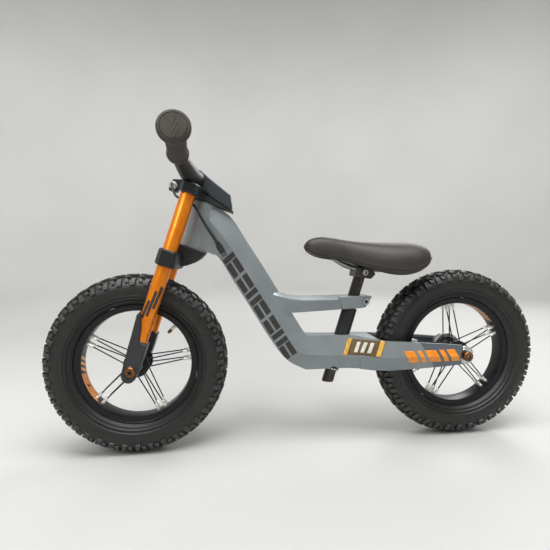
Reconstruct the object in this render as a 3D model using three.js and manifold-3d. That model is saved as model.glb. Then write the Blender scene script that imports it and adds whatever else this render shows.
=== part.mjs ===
// A child's balance bike with 12 inch wheels: a cast frame, a double-crown fork, a sprung hand
// brake lever and a saddle on a sliding post. Millimetres. +X points to the rear wheel, +Z up,
// -Y is the rider's left. The origin lies on the ground, midway between the axles.
import * as THREE from 'three';
import { mergeVertices } from 'three/addons/utils/BufferGeometryUtils.js';
import Module from 'manifold-3d';

const wasm = await Module();
wasm.setup();

// ---- driving dimensions ----
const wheelbase = 618;
const tyreRadius = 164;
const tyreHalfWidth = 31;
const rimInnerRadius = 97;
const rimFlangeRadius = 108.8;
const rimHalfWidth = 16.5;
const gap = 0.3;

const headLean = THREE.MathUtils.degToRad(18.7);   // steering axis and fork legs, from vertical
const steererOffset = 27;                          // steering axis behind the fork legs' axis
const legOffset = -2;                              // stanchion axis from the front axle's line
const legY = 49.5;
const stanchionRadius = 12.5;
const lowerCrown = { low: 187, armTop: 216, top: 232 };
const headTube = { low: 232.4, high: 316.5, radius: 21, bore: 15, cupRadius: 18, cupDepth: 10 };
const coverLow = 316.9;
const steererLow = 207;
const crownArm = { low: 318, high: 334 };
const steererRadius = 12.7;

const seatLean = THREE.MathUtils.degToRad(17.6);
const seatFoot = { x: 56.5, z: 139 };              // a point on the seat post's axis
const postRadius = 11.1;
const sleeveRadius = 14.3;
const stayInnerY = 37.8;
const stayOuterY = 57;

const gripStart = new THREE.Vector3(-26.7, 112, 363.8);   // fork frame: behind, right, along the leg
const gripDirection = new THREE.Vector3(2.7, 100, 12.8).normalize();
const gripLength = 99;
const barRadius = 11.1;

// ---- colours ----
const colours = {
  castGrey: 0x8a9299, satinBlack: 0x1c1d20, slate: 0x4b545c, orange: 0xe08a1e, rubber: 0x1a1a1b,
  silver: 0xc8cacc, copper: 0xb87333, gripBlack: 0x222224, leatherette: 0x191817, steel: 0x8d9094,
};

const object = new THREE.Group();
object.name = 'balance_bike';

function material(colour, roughness, metalness) {
  return new THREE.MeshStandardMaterial({ color: colours[colour], roughness, metalness });
}

function addMesh(parent, name, geometry, colour, roughness = 0.5, metalness = 0) {
  const mesh = new THREE.Mesh(geometry, material(colour, roughness, metalness));
  mesh.name = name;
  parent.add(mesh);
  return mesh;
}

// ---- solids and joins ----
// Welds a geometry's shared corners. A geometry without normals has been welded already.
// Corners go to the middle of a welding cell first, so that no pair straddles a cell's edge.
function merged(geometry) {
  const bare = geometry.clone();
  if (!bare.attributes.normal) {
    return bare;
  }
  bare.deleteAttribute('normal');
  bare.deleteAttribute('uv');
  const cell = 0.001;
  const shift = 1000 + cell / 2;
  const array = bare.attributes.position.array;
  array.forEach((value, k) => {
    array[k] = Math.round(value / cell) * cell + shift;
  });
  const welded = mergeVertices(bare, cell);
  const corners = welded.attributes.position.array;
  corners.forEach((value, k) => {
    corners[k] = Math.round((value - shift) / cell) * cell;
  });
  const index = welded.index.array;
  const kept = [];
  for (let i = 0; i < index.length; i += 3) {
    const [a, b, c] = [index[i], index[i + 1], index[i + 2]];
    if (a !== b && b !== c && c !== a) {
      kept.push(a, b, c);
    }
  }
  welded.setIndex(kept);
  return welded;
}

function signedVolume(geometry) {
  const position = geometry.attributes.position;
  const index = geometry.index;
  const corners = [new THREE.Vector3(), new THREE.Vector3(), new THREE.Vector3()];
  let sum = 0;
  for (let i = 0; i < index.count; i += 3) {
    corners.forEach((corner, k) => corner.fromBufferAttribute(position, index.getX(i + k)));
    sum += corners[0].dot(corners[1].clone().cross(corners[2])) / 6;
  }
  return sum;
}

// A welded copy of the geometry whose faces point outward.
function outward(geometry) {
  const clean = merged(geometry);
  if (signedVolume(clean) < 0) {
    const array = clean.index.array;
    for (let i = 0; i < array.length; i += 3) {
      [array[i], array[i + 1]] = [array[i + 1], array[i]];
    }
  }
  return clean;
}

function solid(geometry) {
  const clean = outward(geometry);
  const vertProperties = new Float32Array(clean.attributes.position.array);
  const triVerts = new Uint32Array(clean.index.array);
  return new wasm.Manifold(new wasm.Mesh({ numProp: 3, vertProperties, triVerts }));
}

function toGeometry(manifold) {
  const mesh = manifold.getMesh();
  const geometry = new THREE.BufferGeometry();
  geometry.setAttribute('position', new THREE.BufferAttribute(mesh.vertProperties, 3));
  geometry.setIndex(new THREE.BufferAttribute(mesh.triVerts, 1));
  return geometry;
}

// Joins the first list of geometries and cuts the second list from them.
function combine(joined, cut = []) {
  let result = solid(joined[0]);
  joined.slice(1).forEach((geometry) => {
    result = result.add(solid(geometry));
  });
  cut.forEach((geometry) => {
    result = result.subtract(solid(geometry));
  });
  return toGeometry(result);
}

// A body turned about the Y axis. The outline is a list of [radius, y] points: it starts and ends
// on the axis, or closes on itself when closed is true.
function turned(outline, segments = 24, closed = false) {
  const points = outline.map(([radius, y]) => new THREE.Vector2(radius, y));
  if (closed) {
    points.push(points[0].clone());
  }
  return outward(new THREE.LatheGeometry(points, segments));
}

function rodY(radius, y0, y1, segments = 20) {
  return turned([[0, y0], [radius, y0], [radius, y1], [0, y1]], segments);
}

function ringY(inner, outer, y0, y1, segments = 24) {
  return turned([[inner, y0], [outer, y0], [outer, y1], [inner, y1]], segments, true);
}

const standUp = new THREE.Matrix4().makeRotationX(Math.PI / 2);   // the Y axis becomes the Z axis

function rodZ(radius, z0, z1, segments = 24) {
  return rodY(radius, z0, z1, segments).applyMatrix4(standUp);
}

function ringZ(inner, outer, z0, z1, segments = 24) {
  return ringY(inner, outer, z0, z1, segments).applyMatrix4(standUp);
}

function moved(geometry, x, y, z) {
  return geometry.translate(x, y, z);
}

function shapeOf(points) {
  return new THREE.Shape(points.map(([a, b]) => new THREE.Vector2(a, b)));
}

// A plate whose outline lies in the X-Z plane and whose thickness runs from y0 to y1.
function plateY(points, y0, y1, bevel = 0) {
  const geometry = new THREE.ExtrudeGeometry(shapeOf(points), {
    depth: y1 - y0 - 2 * bevel,
    bevelEnabled: bevel > 0,
    bevelThickness: bevel,
    bevelSize: bevel,
    bevelOffset: -bevel,
    bevelSegments: 1,
  });
  return geometry.rotateX(Math.PI / 2).translate(0, y1 - bevel, 0);
}

// A plate whose outline lies in the X-Y plane and whose thickness runs from z0 to z1.
function plateZ(points, z0, z1, bevel = 0) {
  const geometry = new THREE.ExtrudeGeometry(shapeOf(points), {
    depth: z1 - z0 - 2 * bevel,
    bevelEnabled: bevel > 0,
    bevelThickness: bevel,
    bevelSize: bevel,
    bevelOffset: -bevel,
    bevelSegments: 1,
  });
  return geometry.translate(0, 0, z0 + bevel);
}

function box(x0, x1, y0, y1, z0, z1) {
  const geometry = new THREE.BoxGeometry(x1 - x0, y1 - y0, z1 - z0);
  return geometry.translate((x0 + x1) / 2, (y0 + y1) / 2, (z0 + z1) / 2);
}

// A skin through a list of sections. Each section is a loop of the same number of [x, y, z] points.
function loft(sections) {
  const count = sections[0].length;
  const positions = sections.flat(2);
  const faces = [];
  for (let s = 0; s < sections.length - 1; s += 1) {
    for (let k = 0; k < count; k += 1) {
      const a = s * count + k;
      const b = s * count + ((k + 1) % count);
      faces.push(a, b, b + count, a, b + count, a + count);
    }
  }
  const last = (sections.length - 1) * count;
  capTriangles(sections[0]).forEach(([a, b, c]) => faces.push(a, c, b));
  capTriangles(sections[sections.length - 1]).forEach(([a, b, c]) => {
    faces.push(last + a, last + b, last + c);
  });
  const geometry = new THREE.BufferGeometry();
  geometry.setAttribute('position', new THREE.Float32BufferAttribute(positions, 3));
  geometry.setIndex(faces);
  return outward(geometry);
}

// Triangles over a flat section, found on the plane that it lies in.
function capTriangles(section) {
  const points = section.map((point) => new THREE.Vector3(...point));
  const normal = new THREE.Vector3();
  points.forEach((point, k) => {
    normal.add(point.clone().cross(points[(k + 1) % points.length]));
  });
  normal.normalize();
  const across = new THREE.Vector3(0, 1, 0).projectOnPlane(normal);
  if (across.lengthSq() < 0.01) {
    across.set(1, 0, 0).projectOnPlane(normal);
  }
  across.normalize();
  const upward = normal.clone().cross(across);
  const flat = points.map((point) => new THREE.Vector2(point.dot(across), point.dot(upward)));
  return THREE.ShapeUtils.triangulateShape(flat, []);
}

// A round rod along a smooth curve through the given points.
function rodAlong(points, radius, steps, sides = 8) {
  const curve = new THREE.CatmullRomCurve3(points.map((point) => new THREE.Vector3(...point)));
  const circle = new THREE.Shape();
  for (let k = 0; k < sides; k += 1) {
    const angle = (2 * Math.PI * k) / sides;
    const x = radius * Math.cos(angle);
    const y = radius * Math.sin(angle);
    if (k === 0) {
      circle.moveTo(x, y);
    } else {
      circle.lineTo(x, y);
    }
  }
  circle.closePath();
  return new THREE.ExtrudeGeometry(circle, { steps, extrudePath: curve, bevelEnabled: false });
}

function mirroredY(geometry) {
  return outward(geometry.clone().scale(1, -1, 1));
}

// ---- groups ----
const fork = new THREE.Group();
fork.position.set(-wheelbase / 2, 0, tyreRadius);
fork.rotation.y = headLean;
object.add(fork);
fork.updateMatrixWorld(true);
const forkMatrix = fork.matrixWorld.clone();
const sides = [['left', -1], ['right', 1]];

// ---- frame ----
// Each station is a six-sided section: top edge, ridge and bottom edge, with their half widths.
const tubeStations = [
  { top: [-184, 457, 14], ridge: [-198, 434, 19], low: [-214, 372, 15] },
  { top: [-158, 446, 12], ridge: [-175, 422, 21], low: [-194, 366, 15] },
  { top: [-134, 428, 10], ridge: [-157, 402, 23], low: [-176, 362, 13] },
  { top: [-108, 387, 9], ridge: [-135, 370, 25], low: [-159, 356, 12] },
  { top: [-80, 343, 9], ridge: [-107, 327, 25], low: [-132, 311, 12] },
  { top: [-52, 297, 9], ridge: [-79, 279, 25], low: [-103, 264, 12] },
  { top: [-15, 236, 12], ridge: [-41, 217, 25], low: [-64, 200, 12] },
  { top: [2, 210, 14], ridge: [-19, 182, 26], low: [-33, 160, 12] },
  { top: [14, 206, 14], ridge: [2, 172, 26], low: [3, 140, 12] },
];
const beamStations = [
  { top: [58, 205, 14], ridge: [52, 169, 26], low: [50, 140, 12] },
  { top: [90, 205, 15], ridge: [84, 166, 27], low: [84, 140, 13] },
  { top: [112, 203, 22], ridge: [111, 167, 37], low: [110, 140.5, 22] },
  { top: [140, 198.5, 40], ridge: [140, 168, 52], low: [140, 141.5, 40] },
];

// Extra stations on a smooth curve between the given ones, so that the tube bends without kinks.
function smoothStations(stations, steps) {
  const curves = ['top', 'ridge', 'low'].map((key) => new THREE.CatmullRomCurve3(
    stations.map((station) => new THREE.Vector3(...station[key])), false, 'catmullrom', 0.5));
  const count = (stations.length - 1) * steps;
  const smooth = [];
  for (let k = 0; k <= count; k += 1) {
    const [top, ridge, low] = curves.map((curve) => curve.getPoint(k / count).toArray());
    smooth.push({ top, ridge, low });
  }
  return smooth;
}

function hexagon({ top, ridge, low }) {
  return [
    [top[0], top[2], top[1]], [top[0], -top[2], top[1]], [ridge[0], -ridge[2], ridge[1]],
    [low[0], -low[2], low[1]], [low[0], low[2], low[1]], [ridge[0], ridge[2], ridge[1]],
  ];
}

// The arm that reaches back to the seat post: a narrow top strip above a long leaning side.
const armStations = [
  { x: -84, top: 300, ridge: 291, low: 252, topY: 5, ridgeY: 9, lowY: 8 },
  { x: -66, top: 296.5, ridge: 287.5, low: 250, topY: 7.5, ridgeY: 14, lowY: 10 },
  { x: -48, top: 290, ridge: 282.5, low: 249, topY: 9.5, ridgeY: 18, lowY: 12 },
  { x: -30, top: 284, ridge: 277.5, low: 250, topY: 11.5, ridgeY: 20.5, lowY: 13.5 },
  { x: -5, top: 280.4, ridge: 274, low: 251, topY: 13, ridgeY: 21, lowY: 14 },
  { x: 80, top: 280, ridge: 274, low: 255, topY: 14, ridgeY: 21, lowY: 15 },
];

function armSection({ x, top, ridge, low, topY, ridgeY, lowY }) {
  return hexagon({ top: [x, top, topY], ridge: [x, ridge, ridgeY], low: [x, low, lowY] });
}

const stayStations = [
  { x: 106, inner: 12, outer: 34, top: 203.5, ridge: 167, low: 140.5 },
  { x: 128, inner: 26, outer: 48, top: 200, ridge: 168, low: 141 },
  { x: 152, inner: stayInnerY, outer: stayOuterY, top: 197, ridge: 168, low: 142 },
  { x: 215, inner: stayInnerY, outer: stayOuterY, top: 192, ridge: 167, low: 143.5 },
  { x: 262, inner: stayInnerY, outer: stayOuterY, top: 188.5, ridge: 166, low: 145.5 },
  { x: 301, inner: stayInnerY, outer: stayOuterY, top: 184.5, ridge: 165.5, low: 148.5 },
];

function staySection({ x, inner, outer, top, ridge, low }) {
  const width = outer - inner;
  return [
    [x, inner, low + 4], [x, inner, top - 4], [x, inner + 0.2 * width, top],
    [x, inner + 0.52 * width, top], [x, outer, ridge], [x, inner + 0.6 * width, low],
    [x, inner + 0.25 * width, low],
  ];
}

// A rod or block along the seat post's axis; z counts from the axis's foot point.
function onSeatAxis(geometry) {
  return geometry.rotateY(seatLean).translate(seatFoot.x, 0, seatFoot.z);
}

const clampBlock = [[66, 274], [74, 255.5], [110, 257], [119, 259], [131, 279], [128, 280], [66, 280]];
const rearAxleX = wheelbase / 2;
const dropoutY = 45.2;                       // outer face of the plates that hold the rear axle
const dropoutInnerY = 40.4;
const cableRadius = 2.3;
const cablePort = { point: [-155, -19.5, 370.5], direction: [0.49, 0.13, -0.862] };

function alongDirection(geometry, point, direction) {
  const turn = new THREE.Quaternion().setFromUnitVectors(
    new THREE.Vector3(0, 1, 0), new THREE.Vector3(...direction).normalize());
  return geometry.applyQuaternion(turn).translate(...point);
}

function dropoutOutline(grow) {
  const radius = 17.5 + grow;
  const points = [[262 - grow, 171 + grow], [262 - grow, 157 - grow]];
  const steps = 10;
  for (let k = 0; k <= steps; k += 1) {
    const angle = -Math.PI / 2 + (Math.PI * k) / steps;
    points.push([rearAxleX + radius * Math.cos(angle), tyreRadius + radius * Math.sin(angle)]);
  }
  return points;
}

function buildMainFrame() {
  const spine = loft([...smoothStations(tubeStations, 3), ...beamStations].map(hexagon));
  const arm = loft(armStations.map(armSection));
  const seatLug = plateY(clampBlock, -21.4, 21.4, 1.2);
  const rightStay = loft(stayStations.map(staySection));
  const head = rodZ(headTube.radius, headTube.low, headTube.high, 16)
    .translate(steererOffset, 0, 0).applyMatrix4(forkMatrix);
  const cuts = [
    box(-60, 120, -60, 60, headTube.high, headTube.high + 60).applyMatrix4(forkMatrix),
    box(-60, 66, -60, 60, headTube.low - 70, headTube.low).applyMatrix4(forkMatrix),
    rodZ(headTube.bore, headTube.low - 20, headTube.high + 20, 16)
      .translate(steererOffset, 0, 0).applyMatrix4(forkMatrix),
    rodZ(headTube.cupRadius, headTube.low - 5, headTube.low + headTube.cupDepth, 16)
      .translate(steererOffset, 0, 0).applyMatrix4(forkMatrix),
    rodZ(headTube.cupRadius, headTube.high - headTube.cupDepth, headTube.high + 5, 16)
      .translate(steererOffset, 0, 0).applyMatrix4(forkMatrix),
    onSeatAxis(rodZ(sleeveRadius + gap, -30, 124, 16)),
    onSeatAxis(rodZ(postRadius + gap, 110, 190, 16)),
    box(102, 150, -1, 1, 250, 290),
    moved(rodY(tyreRadius + 7, -stayInnerY + 0.2, stayInnerY - 0.2, 40), rearAxleX, 0, tyreRadius),
    moved(rodY(4.3, -40, 40, 16), 118.5, 0, 269.5),
    moved(rodY(7.4, -40, -18.5, 16), 118.5, 0, 269.5),
    moved(rodY(7.4, 18.5, 40, 16), 118.5, 0, 269.5),
    alongDirection(rodY(5.2 + gap, -14, 14, 16), cablePort.point, cablePort.direction),
    moved(rodZ(cableRadius + gap, 130, 149, 16), 214, 49, 0),
  ];
  sides.forEach(([, side]) => {
    const y0 = side > 0 ? dropoutInnerY - gap : -dropoutY - gap;
    const y1 = side > 0 ? dropoutY + gap : -dropoutInnerY + gap;
    cuts.push(plateY(dropoutOutline(gap), y0, y1));
    const notch = side > 0 ? [dropoutY, 70] : [-70, -dropoutY];
    cuts.push(moved(rodY(16.5, notch[0], notch[1], 16), rearAxleX, 0, tyreRadius));
    const inner = side > 0 ? [20, dropoutInnerY] : [-dropoutInnerY, -20];
    cuts.push(moved(rodY(20, inner[0], inner[1], 16), rearAxleX, 0, tyreRadius));
  });
  return combine([spine, arm, seatLug, rightStay, mirroredY(rightStay), head], cuts);
}

addMesh(object, 'main_frame', buildMainFrame(), 'castGrey', 0.42, 0.6);
addMesh(object, 'seat_sleeve', onSeatAxis(ringZ(postRadius + gap, sleeveRadius, -2, 123, 16)),
  'satinBlack', 0.5, 0.1);
addMesh(object, 'seat_clamp_bolt', moved(turned([
  [0, -22], [3, -22], [3, -24], [7, -24], [7, -18.8], [4, -18.8], [4, 24], [0, 24]], 16),
118.5, 0, 269.5), 'steel', 0.35, 0.9);

addMesh(object, 'cable_port_grommet', alongDirection(
  ringY(cableRadius + gap, 5.2, -8, 7, 16), cablePort.point, cablePort.direction), 'rubber', 0.7);

[['lower_headset_bearing', headTube.low + 0.3], ['upper_headset_bearing', headTube.high - 9.4]]
  .forEach(([name, low]) => {
    const bearing = ringZ(steererRadius + gap, headTube.cupRadius - gap, low, low + 9, 16)
      .translate(steererOffset, 0, 0);
    addMesh(object, name, bearing.applyMatrix4(forkMatrix), 'steel', 0.3, 0.9);
  });

// ---- wheels ----
const tyreSegments = 48;
const tyreHalfOutline = [
  [tyreRadius, 12], [157, 27], [143, tyreHalfWidth], [121, 26], [109.6, 17.5], [109.4, 13.2],
  [101.8, 13.2], [101.8, 9], [138, 25], [154, 12],
];
const rimHalfOutline = [
  [rimInnerRadius, 14], [rimFlangeRadius, rimHalfWidth], [rimFlangeRadius, 13.9], [101.2, 13.6],
];
const spokeRadius = 1.4;
const spokeSpread = 7;
const flangeY = 17;
const bundles = 5;

// A closed outline from its right-hand half, mirrored to the left.
function mirroredOutline(half) {
  return [...half, ...half.map(([radius, y]) => [radius, -y]).reverse()];
}

function rodBetween(start, end, radius, sideCount) {
  const axis = new THREE.Vector3().subVectors(end, start);
  const rod = rodY(radius, 0, axis.length(), sideCount);
  const turn = new THREE.Quaternion().setFromUnitVectors(
    new THREE.Vector3(0, 1, 0), axis.clone().normalize());
  return rod.applyQuaternion(turn).translate(start.x, start.y, start.z);
}

// One side's spokes, laced in close parallel pairs to a flange ring.
function spokeSet(side, firstAngle) {
  const ring = side > 0
    ? ringY(15.4, 23, flangeY, flangeY + 3, 16)
    : ringY(15.4, 23, -flangeY - 3, -flangeY, 16);
  const pieces = [ring];
  for (let k = 0; k < bundles; k += 1) {
    const angle = firstAngle + (k * 2 * Math.PI) / bundles;
    const along = new THREE.Vector3(Math.cos(angle), 0, Math.sin(angle));
    const across = new THREE.Vector3(-Math.sin(angle), 0, Math.cos(angle));
    [-spokeSpread, spokeSpread].forEach((offset) => {
      const point = (radius, y) => along.clone()
        .multiplyScalar(Math.sqrt(radius * radius - offset * offset))
        .addScaledVector(across, offset)
        .add(new THREE.Vector3(0, side * y, 0));
      pieces.push(rodBetween(point(19, flangeY + 1.5), point(rimInnerRadius - 1, 5.2), spokeRadius, 4));
    });
  }
  return combine(pieces);
}

function valveGeometry(angle) {
  const tall = turned([[0, 76], [2.2, 76], [2.2, 80], [3.2, 81], [3.2, 108.5], [0, 108.5]], 12);
  return tall.rotateX(Math.PI / 2).rotateY(Math.PI / 2 - angle);
}

function rimGeometry(angle) {
  const hole = turned([[0, 90], [3.6, 90], [3.6, 106], [0, 106]], 12);
  const well = turned(mirroredOutline(rimHalfOutline), tyreSegments, true);
  return combine([well], [hole.rotateX(Math.PI / 2).rotateY(Math.PI / 2 - angle)]);
}

function tubeGeometry() {
  const outline = [];
  for (let k = 0; k < 6; k += 1) {
    const turn = (Math.PI * k) / 3;
    outline.push([130 + 19 * Math.cos(turn), 19 * Math.sin(turn)]);
  }
  return turned(outline, 24, true);
}

function hubGeometry() {
  const half = [[9, 14], [13, 14], [13, 24], [15, 24], [15, 16.6], [22, 16.6], [13, 6]];
  return turned(mirroredOutline(half), 16, true);
}

function addWheel(prefix, x, valveAngle, parts) {
  const wheel = new THREE.Group();
  wheel.position.set(x, 0, tyreRadius);
  const angle = THREE.MathUtils.degToRad(valveAngle);
  addMesh(wheel, `${prefix}_tyre`, turned(mirroredOutline(tyreHalfOutline), tyreSegments, true),
    'rubber', 0.85);
  addMesh(wheel, `${prefix}_inner_tube`, tubeGeometry(), 'rubber', 0.7);
  addMesh(wheel, `${prefix}_rim`, rimGeometry(angle), 'satinBlack', 0.4, 0.3);
  sides.forEach(([name, side]) => {
    const spokes = spokeSet(side, angle + Math.PI / bundles);
    addMesh(wheel, `${prefix}_${name}_spokes`, spokes, 'satinBlack', 0.35, 0.6);
    const low = side > 0 ? 14.3 : -23.6;
    const bearing = ringY(5.3, 12.7, low, low + 9.3, 16);
    addMesh(wheel, `${prefix}_${name}_bearing`, bearing, 'steel', 0.3, 0.9);
  });
  addMesh(wheel, `${prefix}_hub`, hubGeometry(), 'satinBlack', 0.4, 0.5);
  addMesh(wheel, `${prefix}_valve`, valveGeometry(angle), 'copper', 0.35, 0.9);
  parts(wheel);
  object.add(wheel);
}

addWheel('front', -wheelbase / 2, 44, () => {});
addWheel('rear', wheelbase / 2, 205, (wheel) => {
  addMesh(wheel, 'rear_brake_drum', turned([
    [15.4, 20.4], [30, 20.4], [30, 29.6], [27.5, 29.6], [27.5, 23.4], [15.4, 23.4]], 24, true),
  'steel', 0.4, 0.8);
});

// ---- front axle and fork ----
function addAxle(parent, name, shoulder, end) {
  addMesh(parent, name, turned([
    [0, -end], [4.5, -end], [4.5, -shoulder], [8, -shoulder], [8, -24.3], [5, -24.3],
    [5, 24.3], [8, 24.3], [8, shoulder], [4.5, shoulder], [4.5, end], [0, end]], 12), 'steel', 0.35, 0.9);
}

const legInner = 34;
const legOuter = 65;
addAxle(fork, 'front_axle', legInner - gap, legOuter - 0.5);

function capBolt(side, face, thickness, radius) {
  const outline = [
    [0, face + gap], [radius, face + gap], [radius, face + thickness - 1],
    [radius - 1, face + thickness], [4.6, face + thickness], [4, face + 1.6], [0, face + 1.6],
  ];
  return turned(outline.map(([r, y]) => [r, y * side]), 16);
}

// The lower leg: a sleeve whose top is cut to a slant, higher in front, with a round foot.
function legOutline() {
  const points = [
    [-19, 95], [-17.8, 99], [-14.4, 98], [-5, 78], [-0.6, 55], [12.6, 50], [12.8, 30], [12.2, 0],
  ];
  const steps = 8;
  for (let k = 1; k < steps; k += 1) {
    const angle = (-Math.PI * k) / steps;
    points.push([-0.9 + 13.1 * Math.cos(angle), -6 + 15 * Math.sin(angle)]);
  }
  points.push([-14, 0], [-16.4, 38], [-17.2, 62]);
  return points;
}

sides.forEach(([name, side]) => {
  const y0 = side > 0 ? legInner : -legOuter;
  const y1 = side > 0 ? legOuter : -legInner;
  const bore = moved(rodZ(stanchionRadius + gap, 41, 140, 16), legOffset, side * legY, 0);
  addMesh(fork, `${name}_lower_leg`, combine([plateY(legOutline(), y0, y1, 2.4)],
    [bore, rodY(4.8, -80, 80, 16)]), 'satinBlack', 0.45, 0.1);
  addMesh(fork, `${name}_stanchion`, moved(rodZ(stanchionRadius, 42, 332, 16), legOffset, side * legY, 0),
    'orange', 0.3, 0.85);
  addMesh(fork, `${name}_front_axle_bolt`, capBolt(side, legOuter, 3.2, 9), 'copper', 0.3, 0.9);
});

const steererBore = moved(rodZ(steererRadius + gap, 170, 339, 16), steererOffset, 0, 0);

function legBores(low, high) {
  return sides.map(([, side]) => moved(
    rodZ(stanchionRadius + gap, low, high, 16), legOffset, side * legY, 0));
}

function buildLowerCrown() {
  const keel = plateY([[-14, 190], [14, 190], [29, 197], [43, 208], [52, 219], [56, 228],
    [56, lowerCrown.top], [6, lowerCrown.top], [-14, 214]], -23, 23, 2);
  const arms = plateZ([
    [-19, 40], [-19, 56], [-12, 66.5], [9, 66.5], [15, 58], [17, 44], [21, 24], [21, -24], [17, -44],
    [15, -58], [9, -66.5], [-12, -66.5], [-19, -56], [-19, -40], [-14, -22], [-14, 22],
  ], lowerCrown.low, lowerCrown.armTop, 2.5);
  return combine([arms, keel], [steererBore, ...legBores(150, 260)]);
}

// The upper crown carries the stem: a wedge that drops to a tail over the frame.
const stemProfile = [
  [-8, 318], [-8, 366], [2, 369], [20, 361], [66, 344], [77, 322], [73, 318.8], [18, 334], [10, 334],
  [4, 321],
];
const coverProfile = [[7, coverLow], [14, 330.5], [17, 333.2], [72, 318.7], [79, 318.7], [81, coverLow]];

const barStations = [
  [0, 0, 350, 16, 17], [-2, 25, 349.5, 16, 17], [-7, 45, 349, 15, 17], [-13, 65, 352, 14, 15.5],
  [-20, 85, 357.5, 12.8, 13.4], [-25, 101, 362, 11.4, 11.6], [-26.7, 112, 363.8, barRadius, barRadius],
];

function barSection([t, y, s, halfDepth, halfHeight], grow) {
  const count = 12;
  const loop = [];
  for (let k = 0; k < count; k += 1) {
    const angle = (2 * Math.PI * (k + 0.5)) / count;
    loop.push([t + (halfDepth + grow) * Math.cos(angle), y, s + (halfHeight + grow) * Math.sin(angle)]);
  }
  return loop;
}

function barGeometry(grow) {
  const end = gripStart.clone().addScaledVector(gripDirection, gripLength - 6);
  const half = [...barStations, [end.x, end.y, end.z, barRadius, barRadius]];
  const mirroredHalf = half.slice(1).reverse().map(([t, y, ...rest]) => [t, -y, ...rest]);
  return loft([...mirroredHalf, ...half].map((station) => barSection(station, grow)));
}

function buildUpperCrown() {
  const stem = plateY(stemProfile, -21, 21, 2);
  const arms = plateZ([
    [-16, 40], [-18, 56], [-12, 65], [8, 65], [14, 56], [16, 40], [30, 18], [30, -18], [16, -40],
    [14, -56], [8, -65], [-12, -65], [-18, -56], [-16, -40], [-10, -18], [-10, 18],
  ], crownArm.low, crownArm.high + 3, 2);
  const under = plateY([
    [3.5, 300], [3.5, 321], [10, 334.4], [18, 334.4], [74, 319.2], [90, 319.2], [90, 300]], -34, 34);
  const bores = legBores(300, 332 + gap);
  return combine([stem, arms], [steererBore, under, barGeometry(gap), ...bores]);
}

addMesh(fork, 'lower_crown', buildLowerCrown(), 'satinBlack', 0.45, 0.2);
addMesh(fork, 'upper_crown', buildUpperCrown(), 'slate', 0.45, 0.4);
addMesh(fork, 'headset_cover', combine([plateY(coverProfile, -19, 19)], [steererBore]), 'satinBlack', 0.55);
addMesh(fork, 'steerer_tube', moved(ringZ(10.5, steererRadius, steererLow, 338, 16), steererOffset, 0, 0),
  'steel', 0.4, 0.8);
addMesh(fork, 'handlebar', barGeometry(0), 'satinBlack', 0.4, 0.2);

const gripOutline = [
  [0, gripLength - 2.6], [11.6, gripLength - 2.6], [11.6, 0], [17.5, 0], [17.5, 4], [15, 6.5],
  [14.4, 20], [14.6, 50], [15.2, 78], [17.5, 87], [23.2, 92], [23.2, gripLength - 1],
  [21, gripLength + 2], [10, gripLength + 3.4], [0, gripLength + 3.6],
];

sides.forEach(([name, side]) => {
  const holder = new THREE.Group();
  holder.position.set(gripStart.x, gripStart.y * side, gripStart.z);
  const direction = new THREE.Vector3(gripDirection.x, gripDirection.y * side, gripDirection.z);
  holder.quaternion.setFromUnitVectors(new THREE.Vector3(0, 1, 0), direction);
  fork.add(holder);
  addMesh(holder, `${name}_grip`, turned(gripOutline, 18), 'gripBlack', 0.8);
});

// ---- hand brake ----
const leverPivot = new THREE.Vector3(-50, 95, 340);
const pivotHigh = 352;
const pivotLow = 328;
const leverEyeHigh = 345;
const leverEyeLow = 335;
const perchY = 88;

function buildPerch() {
  const clamp = moved(ringY(13.4, 18, perchY - 7, perchY + 7, 16), -20.8, 0, 358.4);
  const reach = plateY([[-33, 346], [-28, 366], [-40, 358], [-58, 352], [-60, 329], [-44, 329]],
    perchY - 6, perchY + 15, 1.5);
  const slot = moved(rodZ(13, leverEyeLow - gap, leverEyeHigh + gap, 24), leverPivot.x, leverPivot.y + 1, 0);
  const slotMouth = box(-72, -42, leverPivot.y, 130, leverEyeLow - gap, leverEyeHigh + gap);
  const pin = moved(rodZ(2.8, 300, 380, 16), leverPivot.x, leverPivot.y, 0);
  const grown = barGeometry(gap);
  return combine([clamp, reach], [slot, slotMouth, pin, grown]);
}

const leverStations = [
  [-52, 99, 340, 5, 4.8], [-60, 112, 341, 5, 5], [-67, 132, 343.5, 4, 6.5], [-70, 156, 347, 4, 7],
  [-69, 178, 350, 4.2, 7], [-65, 190, 352, 5, 7.5],
];

function buildLever() {
  const blade = loft(leverStations.map((station) => barSection(station, 0)));
  const eye = moved(rodZ(7, leverEyeLow, leverEyeHigh, 16), leverPivot.x, leverPivot.y, 0);
  const pin = moved(rodZ(2.8, 300, 380, 16), leverPivot.x, leverPivot.y, 0);
  return combine([eye, blade], [pin]);
}

addMesh(fork, 'brake_perch', buildPerch(), 'satinBlack', 0.45, 0.3);
addMesh(fork, 'brake_lever', buildLever(), 'silver', 0.35, 0.85);
addMesh(fork, 'lever_pivot_pin', moved(rodZ(2.5, pivotLow, pivotHigh, 16), leverPivot.x, leverPivot.y, 0),
  'steel', 0.3, 0.9);
addMesh(fork, 'cable_adjuster', moved(turned([
  [0, 81.6], [5, 81.6], [7.6, 81.3], [7.6, 78.2], [6, 78], [6, 70], [4.6, 68.4], [0, 68.4]], 16),
-53, 0, 340), 'silver', 0.25, 0.95);

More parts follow.
